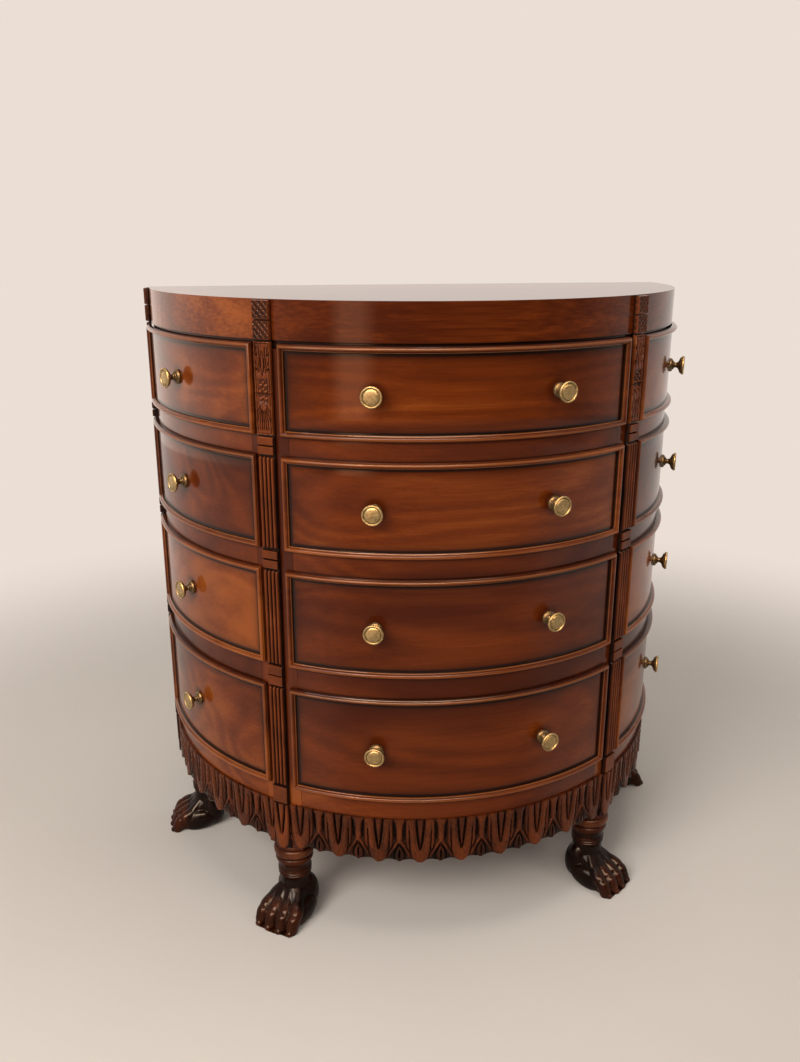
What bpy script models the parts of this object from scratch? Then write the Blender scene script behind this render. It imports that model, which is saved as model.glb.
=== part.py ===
"""Half-moon chest of twelve drawers, in three bays, on four paw feet.

Metres, +Z up. The plan is a half circle whose flat side stands against a wall: the front
faces -Y and the back lies towards +Y. Plan shapes are drawn about the middle of the back
edge, with angles in degrees round the plan from the front centre line. Each drawer is
drawn in the frame of its own bay, and slides out square to the middle of its front.
"""

import math
from dataclasses import dataclass

import bmesh
import bpy
from mathutils import Matrix

# Plan of the carcase
PLAN_RADIUS = 0.440
PILASTER_ANGLE = 37.5
PILASTER_WIDTH = 0.027
PILASTER_PROUD = 0.009
INNER_REVEAL = 0.010
OUTER_REVEAL = 0.0055
BACK_REVEAL = 0.005
POST_DEPTH = 0.0285
BACK_POST_DEPTH = 0.032
PARTITION_THICKNESS = 0.018
BACK_PANEL_THICKNESS = 0.008
RAIL_DEPTH = 0.045
PLATE_LAP = 0.010
HALVING_DEPTH = 0.170

# Heights, stacked up from the floor
FOOT_HEIGHT = 0.1337
APRON_RISE = 0.005
APRON_HEIGHT = 0.0765
BOTTOM_RAIL_REVEAL = 0.0317
LIP_HEIGHTS = (0.171, 0.152, 0.1385, 0.1275)
RAIL_REVEALS = (0.035, 0.0305, 0.028)
FRIEZE_REVEAL = 0.003
FRIEZE_HEIGHT = 0.0367
FRIEZE_DEPTH = 0.025
FRIEZE_STEP_DROP = 0.0105
FRIEZE_STEP_BACK = 0.008
TOP_THICKNESS = 0.018
TOP_EDGE_ROUND = 0.002
PLATE_THICKNESS = 0.014
PLATE_LIFT = 0.0005

# Drawers
LIP_OVERLAP = 0.008
LIP_SIDE_OVERLAP = 0.010
LIP_GAP = 0.0005
LIP_EDGE_PROUD = 0.0055
BEAD_CREST_INSET = 0.0045
FIELD_INSET = 0.0125
FIELD_PROUD = 0.0015
FRONT_THICKNESS = 0.018
PLUG_CLEARANCE = 0.001
TRAY_WALL = 0.010
TRAY_FLOOR = 0.006
TRAY_TOP_DROP = 0.012
TRAY_CLEARANCE = 0.002

# Knobs
KNOB_ANGLE = 17.0
KNOB_HEAD_RADIUS = 0.015
KNOB_HEAD_DEPTH = 0.011
KNOB_NECK_RADIUS = 0.0045
KNOB_ROSE_RADIUS = 0.0105
KNOB_ROSE_DEPTH = 0.006
KNOB_REACH = 0.0235
KNOB_FACE_SHARE = 0.80

# Apron carving
APRON_DEPTH = 0.020
APRON_BAND = 0.010
LEAF_RELIEF = 0.006
LEAF_VALLEY = 0.004
LEAF_NOTCH = 0.013
LEAF_FLANK_SHARE = 0.35
LEAF_BELLY_SHARE = 0.45

# Feet
FRONT_FOOT_ANGLE = 37.4
FRONT_FOOT_INSET = 0.025
BACK_FOOT_INSET = 0.042
BACK_FOOT_FORWARD = 0.050
SHAFT_RADIUS = 0.033
PAW_REACH = 0.070
PAW_HEEL = 0.022
PAW_WIDTH = 0.071
PAW_HEIGHT = 0.058
TOE_COUNT = 4
TOE_POINTS = 4
PAW_ROUNDNESS = 0.40
BLOCK_HALF_WIDTH = 0.030
BLOCK_DEPTH = 0.045

# Fits and facets
SEAT = 0.0003
MERGE = 0.00001
ARC_STEP = 4.5
HIDDEN_STEP = 9.0
KNOB_STEPS = 9
SHAFT_STEPS = 12
OVERSHOOT = 0.050

# Worked out from the sizes above
CREST_RADIUS = PLAN_RADIUS + PILASTER_PROUD
FIELD_RADIUS = PLAN_RADIUS + FIELD_PROUD
PLUG_RADIUS = PLAN_RADIUS - FRONT_THICKNESS
PLATE_RADIUS = PLAN_RADIUS - RAIL_DEPTH + PLATE_LAP
POST_BOTTOM = FOOT_HEIGHT + SEAT
APRON_BOTTOM = POST_BOTTOM + APRON_RISE
APRON_TOP = APRON_BOTTOM + APRON_HEIGHT
BOTTOM_RAIL = APRON_TOP + SEAT


def lip_levels():
    """Foot and head of each row of drawer lips, from the lowest row up."""
    levels = []
    foot = BOTTOM_RAIL + BOTTOM_RAIL_REVEAL
    for height, reveal in zip(LIP_HEIGHTS, (*RAIL_REVEALS, FRIEZE_REVEAL)):
        levels.append((foot, foot + height))
        foot += height + reveal
    return levels


LEVELS = lip_levels()
FRIEZE_BOTTOM = LEVELS[-1][1] + FRIEZE_REVEAL
FRIEZE_TOP = FRIEZE_BOTTOM + FRIEZE_HEIGHT
TOP_BOTTOM = FRIEZE_TOP + SEAT
TOP_HEIGHT = TOP_BOTTOM + TOP_THICKNESS
POST_TOP = FRIEZE_BOTTOM - FRIEZE_STEP_DROP - SEAT
RAIL_TOPS = [foot + LIP_OVERLAP for foot, head in LEVELS]
RAIL_BOTTOMS = [BOTTOM_RAIL] + [head - LIP_OVERLAP for foot, head in LEVELS[:-1]]
OPENING_HEADS = RAIL_BOTTOMS[1:] + [FRIEZE_BOTTOM - FRIEZE_STEP_DROP]
BASE_UNDERSIDE = RAIL_TOPS[0] + PLATE_LIFT - PLATE_THICKNESS


def span(length, radius):
    """Angle in degrees that a length takes up on a circle."""
    return math.degrees(length / radius)


CENTRE_LIP = PILASTER_ANGLE - span(PILASTER_WIDTH / 2 + INNER_REVEAL, CREST_RADIUS)
SIDE_LIP_START = PILASTER_ANGLE + span(PILASTER_WIDTH / 2 + OUTER_REVEAL, CREST_RADIUS)
SIDE_LIP_END = 90.0 - span(PILASTER_WIDTH + BACK_REVEAL, CREST_RADIUS)
SIDE_ANGLE = (SIDE_LIP_START + SIDE_LIP_END) / 2
SIDE_LIP = (SIDE_LIP_END - SIDE_LIP_START) / 2


def plug_half_width(lip):
    """Half width of the part of a drawer front that enters its opening."""
    return PLAN_RADIUS * math.sin(math.radians(lip)) - LIP_SIDE_OVERLAP


CENTRE_OPENING = plug_half_width(CENTRE_LIP) + PLUG_CLEARANCE
SIDE_OPENING = plug_half_width(SIDE_LIP) + PLUG_CLEARANCE
PARTITION_OUTER = CENTRE_OPENING + PARTITION_THICKNESS
PANEL_FRONT = BACK_PANEL_THICKNESS + SEAT


def knob_front():
    """How far the centre knobs come forward of the back line."""
    turn = math.radians(KNOB_ANGLE)
    rim = KNOB_HEAD_RADIUS * KNOB_FACE_SHARE
    return (FIELD_RADIUS + SEAT + KNOB_REACH) * math.cos(turn) + rim * math.sin(turn)


FRONT_REACH = max(CREST_RADIUS, knob_front())


@dataclass(frozen=True)
class Bay:
    """One upright run of drawers: its middle angle, lip half angle, leaves and knobs."""

    name: str
    angle: float
    lip: float
    side: int
    leaves: int
    knobs: tuple

    def plug(self):
        """Half width of the drawer plugs in this bay."""
        return plug_half_width(self.lip)

    def limits(self):
        """World half planes, as normal and offset, that shut the bay in at its back."""
        walls = [((0.0, 1.0), -PANEL_FRONT)]
        if self.side:
            walls.append(((-self.side, 0.0), -PARTITION_OUTER))
        return walls


BAYS = (
    Bay("centre", 0.0, CENTRE_LIP, 0, 8, (-KNOB_ANGLE, KNOB_ANGLE)),
    Bay("left", -SIDE_ANGLE, SIDE_LIP, -1, 5, (0.0,)),
    Bay("right", SIDE_ANGLE, SIDE_LIP, 1, 5, (0.0,)),
)


def polar(radius, angle):
    """Plan point at a radius and an angle from the front centre line."""
    turn = math.radians(angle)
    return (radius * math.sin(turn), -radius * math.cos(turn))


def arc(radius, start, end, step=ARC_STEP):
    """Plan points along a round stretch, on a grid of angles that all pieces share."""
    first = math.floor(start / step) + 1
    last = math.ceil(end / step)
    inner = [index * step for index in range(first, last)]
    return [polar(radius, angle) for angle in (start, *inner, end)]


def half_disc(radius, step=ARC_STEP):
    """Plan outline of a half circle with its flat side on the back line."""
    return arc(radius, -90.0, 90.0, step)


def turn_plan(points, angle):
    """Plan points turned about the middle of the back edge."""
    cos = math.cos(math.radians(angle))
    sin = math.sin(math.radians(angle))
    return [(x * cos - y * sin, x * sin + y * cos) for x, y in points]


def clip(points, normal, offset):
    """The part of a plan outline on the near side of a line."""
    kept = []
    for index, here in enumerate(points):
        before = points[index - 1]
        near = before[0] * normal[0] + before[1] * normal[1] - offset
        far = here[0] * normal[0] + here[1] * normal[1] - offset
        if (near < 0.0) != (far < 0.0):
            share = near / (near - far)
            kept.append(tuple(a + share * (b - a) for a, b in zip(before, here)))
        if far < 0.0:
            kept.append(here)
    return kept


def clip_width(points, half_width):
    """A plan outline cut to a strip about its own centre line."""
    return clip(clip(points, (1.0, 0.0), half_width), (-1.0, 0.0), half_width)


def clip_to_bay(points, bay, inset):
    """An outline in a bay's frame, cut back from the walls behind the bay."""
    for normal, offset in bay.limits():
        local = turn_plan([normal], -bay.angle)[0]
        points = clip(points, local, offset - inset)
    return points


def to_mesh(form, name):
    """Mesh data from a closed form, with its faces pointing out."""
    bmesh.ops.recalc_face_normals(form, faces=form.faces)
    mesh = bpy.data.meshes.new(name)
    form.to_mesh(mesh)
    form.free()
    return mesh


def prism(outline, bottom, top, name="prism"):
    """A plan outline raised between two heights."""
    form = bmesh.new()
    foot = form.faces.new([form.verts.new((x, y, bottom)) for x, y in outline])
    raised = bmesh.ops.extrude_face_region(form, geom=[foot])
    moved = [item for item in raised["geom"] if isinstance(item, bmesh.types.BMVert)]
    bmesh.ops.translate(form, verts=moved, vec=(0.0, 0.0, top - bottom))
    return to_mesh(form, name)


def box(low, high):
    """A block between two corners."""
    outline = [(low[0], low[1]), (high[0], low[1]), (high[0], high[1]), (low[0], high[1])]
    return prism(outline, low[2], high[2])


def turned(profile, steps, name):
    """A turned piece from points of radius and height, with both ends on the axis."""
    form = bmesh.new()
    points = [form.verts.new((radius, 0.0, height)) for radius, height in profile]
    edges = [form.edges.new(pair) for pair in zip(points, points[1:])]
    bmesh.ops.spin(form, geom=[*points, *edges], axis=(0, 0, 1), cent=(0, 0, 0),
                   angle=2 * math.pi, steps=steps)
    bmesh.ops.remove_doubles(form, verts=form.verts, dist=MERGE)
    return to_mesh(form, name)


def loft(rings, name):
    """A skin through rings of points, with a flat cap on the first and last."""
    form = bmesh.new()
    loops = [[form.verts.new(point) for point in ring] for ring in rings]
    for near, far in zip(loops, loops[1:]):
        join_rings(form, near, far)
    form.faces.new(loops[0])
    form.faces.new(loops[-1])
    return to_mesh(form, name)


def join_rings(form, near, far):
    """Faces between two rings with as many points."""
    for index, point in enumerate(near):
        form.faces.new((near[index - 1], point, far[index], far[index - 1]))


def combine(operation, first, others):
    """Union or difference of closed meshes, worked out into one new mesh."""
    holder = bpy.data.objects.new("combine", first)
    bpy.context.collection.objects.link(holder)
    helpers = [holder]
    for mesh in others:
        helper = bpy.data.objects.new("helper", mesh)
        bpy.context.collection.objects.link(helper)
        helpers.append(helper)
        modifier = holder.modifiers.new("boolean", "BOOLEAN")
        modifier.operation = operation
        modifier.solver = "EXACT"
        modifier.object = helper
    graph = bpy.context.evaluated_depsgraph_get()
    form = bmesh.new()
    form.from_object(holder, graph)
    bmesh.ops.remove_doubles(form, verts=form.verts, dist=MERGE)
    bmesh.ops.dissolve_degenerate(form, edges=form.edges, dist=MERGE)
    for helper in helpers:
        bpy.data.objects.remove(helper)
    return to_mesh(form, first.name)


def moved(mesh, matrix):
    """A mesh copied and carried to another place, faces out also when mirrored."""
    copy = mesh.copy()
    copy.transform(matrix)
    if matrix.determinant() < 0.0:
        copy.flip_normals()
    return copy


def mirrored(mesh):
    """A mesh reflected from the right side of the chest to the left."""
    return moved(mesh, Matrix.Scale(-1.0, 4, (1.0, 0.0, 0.0)))


def facing(angle):
    """Turn that carries the front centre line to another angle of the plan."""
    return Matrix.Rotation(math.radians(angle), 4, "Z")


def finish(name, colour, roughness, metallic=0.0):
    """A plain surface with a colour, a roughness and a metallic value."""
    material = bpy.data.materials.new(name)
    material.use_nodes = True
    shader = material.node_tree.nodes["Principled BSDF"]
    shader.inputs["Base Color"].default_value = (*colour, 1.0)
    shader.inputs["Roughness"].default_value = roughness
    shader.inputs["Metallic"].default_value = metallic
    material.diffuse_color = (*colour, 1.0)
    return material


def panel_mahogany():
    """Lacquered reddish brown wood of the fronts, rails and top."""
    return finish("panel_mahogany", (0.180, 0.045, 0.012), 0.22)


def carved_mahogany():
    """Redder wood of the carved posts and apron."""
    return finish("carved_mahogany", (0.130, 0.030, 0.012), 0.35)


def dark_mahogany():
    """Almost black stained wood of the feet."""
    return finish("dark_mahogany", (0.022, 0.009, 0.006), 0.25)


def carcase_wood():
    """Pale unfinished wood of the drawer boxes and hidden boards."""
    return finish("carcase_wood", (0.420, 0.270, 0.140), 0.60)


def antique_brass():
    """Dull yellow metal of the knobs."""
    return finish("antique_brass", (0.460, 0.290, 0.090), 0.32, 1.0)


def place(name, mesh, material, parent):
    """A named object with its mesh and material, carried by its parent."""
    mesh.materials.clear()
    mesh.materials.append(material)
    mesh.shade_smooth()
    mesh.set_sharp_from_angle(angle=math.radians(35.0))
    piece = bpy.data.objects.new(name, mesh)
    bpy.context.collection.objects.link(piece)
    piece.parent = parent
    return piece


def empty(name, location, angle=0.0, parent=None):
    """A guide point that carries other pieces, turned about its upright axis."""
    guide = bpy.data.objects.new(name, None)
    bpy.context.collection.objects.link(guide)
    guide.location = location
    guide.rotation_euler = (0.0, 0.0, math.radians(angle))
    guide.parent = parent
    return guide


def top_board():
    """Half-round top with a slightly eased upper edge, flush with the frieze."""
    mesh = prism(half_disc(PLAN_RADIUS), TOP_BOTTOM, TOP_HEIGHT, "top_board")
    form = bmesh.new()
    form.from_mesh(mesh)
    rim = [edge for edge in form.edges if all(on_rim(vert) for vert in edge.verts)]
    bmesh.ops.bevel(form, geom=rim, offset=TOP_EDGE_ROUND, segments=1, affect="EDGES")
    return to_mesh(form, "top_board")


def on_rim(vert):
    """Whether a point lies on the round upper edge of the top board."""
    return vert.co.z > TOP_HEIGHT - MERGE and vert.co.xy.length > PLAN_RADIUS - MERGE


def frieze():
    """Curved band below the top, with a set-back step that closes the top openings."""
    inner = PLAN_RADIUS - FRIEZE_DEPTH
    step = PLAN_RADIUS - FRIEZE_STEP_BACK
    low = FRIEZE_BOTTOM - FRIEZE_STEP_DROP
    section = ((inner, low), (step, low), (step, FRIEZE_BOTTOM), (PLAN_RADIUS, FRIEZE_BOTTOM),
               (PLAN_RADIUS, FRIEZE_TOP), (inner, FRIEZE_TOP))
    angles = [index * ARC_STEP - 90.0 for index in range(round(180.0 / ARC_STEP) + 1)]
    rings = [[(*polar(radius, angle), height) for radius, height in section] for angle in angles]
    return loft(rings, "frieze")


def rail(bay, bottom, top):
    """Curved rail of one bay between its posts, in world coordinates."""
    outer = arc(PLAN_RADIUS, -60.0, 60.0)
    inner = arc(PLAN_RADIUS - RAIL_DEPTH, -60.0, 60.0, HIDDEN_STEP)
    outline = clip_width(outer + inner[::-1], bay.plug() + PLUG_CLEARANCE - SEAT)
    outline = clip_to_bay(outline, bay, SEAT)
    return prism(turn_plan(outline, bay.angle), bottom, top)


def plate(top):
    """Half-round board that carries a row of drawers, behind the rails."""
    outline = clip(half_disc(PLATE_RADIUS, HIDDEN_STEP), (0.0, 1.0), -PANEL_FRONT)
    return prism(outline, top - PLATE_THICKNESS, top)


def shelf(row, name):
    """A plate with its three rails below the drawers of one row, as one board."""
    rails = [rail(bay, RAIL_BOTTOMS[row], RAIL_TOPS[row]) for bay in BAYS]
    mesh = combine("UNION", plate(RAIL_TOPS[row] + PLATE_LIFT), rails)
    mesh.name = name
    return mesh


def dust_board(row):
    """A shelf halved from behind over the two partitions."""
    top = RAIL_TOPS[row] + PLATE_LIFT
    slots = []
    for side in (-1, 1):
        edges = sorted((side * (CENTRE_OPENING - SEAT), side * (PARTITION_OUTER + SEAT)))
        low = (edges[0], -HALVING_DEPTH - SEAT, top - PLATE_THICKNESS - OVERSHOOT)
        slots.append(box(low, (edges[1], OVERSHOOT, top + OVERSHOOT)))
    return combine("DIFFERENCE", shelf(row, "dust_board"), slots)


def partition():
    """Right upright board between two bays, halved from the front over the dust boards."""
    outline = [(CENTRE_OPENING, -PLAN_RADIUS), (PARTITION_OUTER, -PLAN_RADIUS),
               (PARTITION_OUTER, -PANEL_FRONT), (CENTRE_OPENING, -PANEL_FRONT)]
    outline = clip(outline, polar(1.0, PILASTER_ANGLE), PLAN_RADIUS - POST_DEPTH - SEAT)
    foot = RAIL_TOPS[0] + PLATE_LIFT + SEAT
    board = prism(outline, foot, FRIEZE_TOP, "partition")
    slots = []
    for row in range(1, len(LEVELS)):
        top = RAIL_TOPS[row] + PLATE_LIFT
        low = (CENTRE_OPENING - OVERSHOOT, -PLAN_RADIUS, top - PLATE_THICKNESS - SEAT)
        high = (PARTITION_OUTER + OVERSHOOT, -HALVING_DEPTH + SEAT, top + SEAT)
        slots.append(box(low, high))
    return combine("DIFFERENCE", board, slots)


def back_panel():
    """Flat board that shuts the back between the back posts."""
    half = PLAN_RADIUS - BACK_POST_DEPTH - SEAT
    low = (-half, -BACK_PANEL_THICKNESS, BASE_UNDERSIDE)
    return box(low, (half, 0.0, FRIEZE_TOP))


def post_mesh(outline, block):
    """An upright post on the corner block that seats it on its foot."""
    post = prism(outline, POST_BOTTOM, POST_TOP)
    return combine("UNION", post, [prism(block, POST_BOTTOM, APRON_TOP)])


def front_post():
    """Right front post, its sides in line with the way that the drawers beside it slide."""
    outward = polar(1.0, PILASTER_ANGLE)
    across = polar(1.0, SIDE_ANGLE + 90.0)
    outline = clip(half_disc(PLAN_RADIUS), (-1.0, 0.0), -CENTRE_OPENING)
    outline = clip(outline, across, -SIDE_OPENING)
    outline = clip(outline, [-part for part in outward], POST_DEPTH - PLAN_RADIUS)
    reach = PLAN_RADIUS - APRON_DEPTH - PLUG_CLEARANCE
    block = clip_width(half_disc(reach), BLOCK_HALF_WIDTH)
    block = clip(block, (0.0, 1.0), BLOCK_DEPTH - reach)
    return post_mesh(outline, turn_plan(block, FRONT_FOOT_ANGLE))


def back_post():
    """Right back post, with its slanted face in line with the side drawers' way out."""
    across = polar(1.0, SIDE_ANGLE + 90.0)
    outline = clip(half_disc(PLAN_RADIUS), [-part for part in across], -SIDE_OPENING)
    outline = clip(outline, (-1.0, 0.0), BACK_POST_DEPTH - PLAN_RADIUS)
    reach = PLAN_RADIUS - APRON_DEPTH - PLUG_CLEARANCE
    block = clip(half_disc(reach), (-1.0, 0.0), BLOCK_DEPTH - reach)
    block = clip(block, (0.0, -1.0), BACK_FOOT_FORWARD + BLOCK_HALF_WIDTH)
    block = clip(block, (0.0, 1.0), -BACK_REVEAL)
    return post_mesh(outline, block)


def strip_block(bottom, top, proud=PILASTER_PROUD):
    """A plain block of the applied strip, a little wider than its ground."""
    half = PILASTER_WIDTH / 2
    return box((-half, -proud, bottom), (half, -PILASTER_PROUD / 3, top))


def strip_reeds(bottom, top):
    """Four upright reeds, half round in plan."""
    half = PILASTER_WIDTH / 2 - 2 * PLUG_CLEARANCE / 3
    reeds = 4
    points_each = 3
    root = PILASTER_PROUD / 2
    crown = PILASTER_PROUD - root - LIP_GAP
    outline = [(half, -PILASTER_PROUD / 3), (-half, -PILASTER_PROUD / 3)]
    for index in range(reeds * points_each + 1):
        swell = abs(math.sin(math.pi * index / points_each))
        across = -half + 2 * half * index / (reeds * points_each)
        outline.append((across, -root - crown * swell))
    return prism(outline, bottom, top)


def strip_leaf(tip, root, lean):
    """A raised leaf with a sharp midrib, from its root height to its tip height."""
    half = PILASTER_WIDTH / 7
    middle = root + 0.45 * (tip - root)
    ground = -PILASTER_PROUD / 3
    crest = -PILASTER_PROUD
    form = bmesh.new()
    foot = form.verts.new((0.0, ground, root))
    head = form.verts.new((lean, ground, tip))
    left = form.verts.new((lean / 2 - half, ground, middle))
    right = form.verts.new((lean / 2 + half, ground, middle))
    ridge = form.verts.new((lean / 2, crest, middle))
    form.faces.new((foot, right, head, left))
    for near, far in ((foot, right), (right, head), (head, left), (left, foot)):
        form.faces.new((near, far, ridge))
    return to_mesh(form, "leaf")


def strip_flower(height):
    """A small domed flower in the middle of the carved panel."""
    radius = PILASTER_WIDTH / 4
    crown = PILASTER_PROUD / 2
    profile = [(0.0, crown), (radius / 2, crown * 0.9), (radius, 0.0), (0.0, 0.0)]
    turn = Matrix.Rotation(math.radians(90.0), 4, "X")
    mesh = turned(profile, 8, "flower")
    return moved(mesh, Matrix.Translation((0.0, -PILASTER_PROUD / 2, height)) @ turn)


def carved_panel(bottom, top):
    """Leaf sprays above and below a flower, on a raised ground."""
    middle = (bottom + top) / 2
    margin = PILASTER_WIDTH / 6
    lean = PILASTER_WIDTH / 4
    ground = box((-PILASTER_WIDTH / 2, -PILASTER_PROUD * 0.6, bottom),
                 (PILASTER_WIDTH / 2, -PILASTER_PROUD / 3, top))
    pieces = [ground, strip_flower(middle)]
    for end, sign in ((top - margin, 1), (bottom + margin, -1)):
        root = middle + sign * margin * 2
        pieces.append(strip_leaf(end, root, 0.0))
        pieces.append(strip_leaf(end - sign * margin * 2, root, lean))
        pieces.append(strip_leaf(end - sign * margin * 2, root, -lean))
    return pieces


def paired_blocks(bottom, top):
    """Two stacked blocks with a fine line between them."""
    line = PLUG_CLEARANCE
    middle = (bottom + top) / 2
    return [strip_block(bottom + line, middle - line), strip_block(middle + line, top - line)]


def applied_strip():
    """Carved strip that runs up the whole chest, drawn at the plan radius on the front line."""
    line = PLUG_CLEARANCE
    half = PILASTER_WIDTH / 2 - line / 2
    slim = half - line / 2
    core = box((-half, -PILASTER_PROUD * 0.40, POST_BOTTOM + line / 2),
               (half, PILASTER_PROUD / 2, POST_TOP - line))
    neck = box((-slim, -PILASTER_PROUD * 0.45, LEVELS[-1][0] + 3 * line),
               (slim, -LIP_GAP, TOP_HEIGHT - 2 * line))
    pieces = [neck, strip_leaf(POST_BOTTOM + line, APRON_TOP - line, 0.0)]
    pieces.append(strip_block(BOTTOM_RAIL + line, LEVELS[0][0] - line))
    for foot, head in LEVELS[:-1]:
        pieces.append(strip_reeds(foot + line, head - line))
    for (foot, head), (above, top) in zip(LEVELS, LEVELS[1:]):
        pieces.extend(paired_blocks(head, above))
    pieces.extend(carved_panel(LEVELS[-1][0] + line, LEVELS[-1][1] - line))
    pieces.extend(paired_blocks(FRIEZE_BOTTOM, TOP_HEIGHT))
    return combine("UNION", core, pieces)


def front_pilaster(strip):
    """Right front post with its applied strip."""
    seat = facing(PILASTER_ANGLE) @ Matrix.Translation((0.0, -PLAN_RADIUS, 0.0))
    return combine("UNION", front_post(), [moved(strip, seat)])


def back_pilaster(strip):
    """Right back post with its applied strip, which faces sideways at the back corner."""
    shift = Matrix.Translation((-PILASTER_WIDTH / 2 - LIP_GAP, -PLAN_RADIUS, 0.0))
    return combine("UNION", back_post(), [moved(strip, facing(90.0) @ shift)])


def apron(bay):
    """Curved apron of one bay, with a plain band over pendant leaves."""
    half_width = bay.plug() + PLUG_CLEARANCE - SEAT
    half = math.degrees(math.asin(half_width / PLAN_RADIUS))
    cells = bay.leaves * 4
    form = bmesh.new()
    rings = []
    for index in range(cells + 1):
        angle = -half + 2 * half * index / cells
        flank = LEAF_FLANK_SHARE
        crest = (1.0, flank, -LEAF_VALLEY / LEAF_RELIEF, flank)[index % 4]
        notch = (0.0, flank, 1.0, flank)[index % 4]
        rings.append([form.verts.new(p) for p in apron_section(angle, crest, notch)])
    for near, far in zip(rings, rings[1:]):
        join_rings(form, near, far)
    form.faces.new(rings[0])
    form.faces.new(rings[-1])
    return to_mesh(form, "apron")


def apron_section(angle, crest, notch):
    """Upright section of the apron at one angle, with its leaf relief and its hem."""
    inner = PLAN_RADIUS - APRON_DEPTH
    band = APRON_TOP - APRON_BAND
    hem = APRON_BOTTOM + LEAF_NOTCH * notch
    middle = band + LEAF_BELLY_SHARE * (hem - band)
    relief = PLAN_RADIUS + LEAF_RELIEF * crest
    section = ((inner, APRON_TOP), (PLAN_RADIUS, APRON_TOP), (PLAN_RADIUS, band),
               (relief, middle), (PLAN_RADIUS + LEAF_RELIEF * crest / 2, hem), (inner, hem))
    return [(*polar(radius, angle), height) for radius, height in section]


def ring_of_front(columns, radius, half_angle, foot, head):
    """Closed loop of points round a curved panel, along its foot and back along its head."""
    angles = [-half_angle, *columns, half_angle]
    lower = [(*polar(radius, angle), foot) for angle in angles]
    upper = [(*polar(radius, angle), head) for angle in reversed(angles)]
    return lower + upper


def side_angle(half_width, radius):
    """Angle at which an upright face beside the centre line meets a radius."""
    return math.degrees(math.asin(half_width / radius))


def drawer_front(bay, row):
    """Bowed front: a plug in its opening, and a lip with a raised bead round the field."""
    foot, head = LEVELS[row]
    low = RAIL_TOPS[row] + PLUG_CLEARANCE
    high = OPENING_HEADS[row] - PLUG_CLEARANCE
    seat = PLAN_RADIUS + LIP_GAP
    plug = bay.plug()
    crest = BEAD_CREST_INSET
    field = FIELD_INSET
    crest_angle = bay.lip - span(crest, CREST_RADIUS)
    field_angle = bay.lip - span(field, FIELD_RADIUS)
    limit = min(field_angle, side_angle(plug, seat))
    count = math.ceil(limit / ARC_STEP) - 1
    columns = [index * ARC_STEP for index in range(-count, count + 1)]
    rings = [
        ring_of_front(columns, PLUG_RADIUS, side_angle(plug, PLUG_RADIUS), low, high),
        ring_of_front(columns, seat, side_angle(plug, seat), low, high),
        ring_of_front(columns, seat, bay.lip, foot, head),
        ring_of_front(columns, PLAN_RADIUS + LIP_EDGE_PROUD, bay.lip, foot, head),
        ring_of_front(columns, CREST_RADIUS, crest_angle, foot + crest, head - crest),
        ring_of_front(columns, FIELD_RADIUS, field_angle, foot + field, head - field),
    ]
    form = bmesh.new()
    loops = [[form.verts.new(point) for point in ring] for ring in rings]
    for near, far in zip(loops, loops[1:]):
        join_rings(form, near, far)
    for loop in (loops[0], loops[-1]):
        for index in range(len(loop) // 2 - 1):
            form.faces.new((loop[index], loop[index + 1], loop[-2 - index], loop[-1 - index]))
    return to_mesh(form, "drawer_front")


def tray_outline(bay, inset, radius):
    """Plan of a drawer box in its bay's frame, drawn in from its outer faces."""
    outline = clip_width(half_disc(radius), bay.plug() - inset)
    return clip_to_bay(outline, bay, TRAY_CLEARANCE + inset)


def drawer_box(bay, row):
    """Sides, back and floor of a drawer, open above and shut in front by the drawer front."""
    foot = RAIL_TOPS[row] + PLATE_LIFT + SEAT
    head = OPENING_HEADS[row] - TRAY_TOP_DROP
    block = prism(tray_outline(bay, 0.0, PLUG_RADIUS - SEAT), foot, head)
    hollow = tray_outline(bay, TRAY_WALL, PLUG_RADIUS + OVERSHOOT)
    return combine("DIFFERENCE", block, [prism(hollow, foot + TRAY_FLOOR, head + OVERSHOOT)])


def knob():
    """Turned knob on its rose, drawn upright and laid over to point along -Y."""
    reach = KNOB_REACH
    head = KNOB_HEAD_RADIUS
    deep = KNOB_HEAD_DEPTH
    neck = KNOB_NECK_RADIUS
    rose = KNOB_ROSE_RADIUS
    profile = [(0.0, reach), (head * KNOB_FACE_SHARE, reach - deep * 0.07), (head, reach - deep * 0.32),
               (head * 0.86, reach - deep * 0.68), (neck, reach - deep), (neck, KNOB_ROSE_DEPTH),
               (rose, KNOB_ROSE_DEPTH * 0.4), (rose, 0.0), (0.0, 0.0)]
    mesh = turned(profile, KNOB_STEPS, "knob")
    return moved(mesh, Matrix.Rotation(math.radians(90.0), 4, "X"))


def paw_section(share, half_width, height, groove):
    """Upright section across the paw: flat below, round above, with grooves between the toes."""
    along = PAW_HEEL - share * (PAW_HEEL + PAW_REACH)
    count = TOE_COUNT * TOE_POINTS
    points = []
    for index in range(count + 1):
        across = 2.0 * index / count - 1.0
        arch = (1.0 - across * across) ** PAW_ROUNDNESS
        hollow = groove * (1.0 - abs(math.sin(math.pi * index / TOE_POINTS)))
        points.append((half_width * across, along, height * arch * (1.0 - hollow)))
    return points


def paw():
    """Instep that parts into four toes, swelling at the knuckles and low at the tips."""
    stations = ((0.00, 0.45, 0.38, 0.00), (0.06, 0.62, 0.66, 0.00), (0.18, 0.78, 0.92, 0.00),
                (0.40, 0.90, 1.00, 0.06), (0.60, 0.97, 0.84, 0.18), (0.76, 1.00, 0.74, 0.27),
                (0.90, 0.98, 0.52, 0.30), (1.00, 0.88, 0.28, 0.34))
    rings = [paw_section(share, PAW_WIDTH / 2 * wide, PAW_HEIGHT * high, groove)
             for share, wide, high, groove in stations]
    return loft(rings, "paw")


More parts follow.
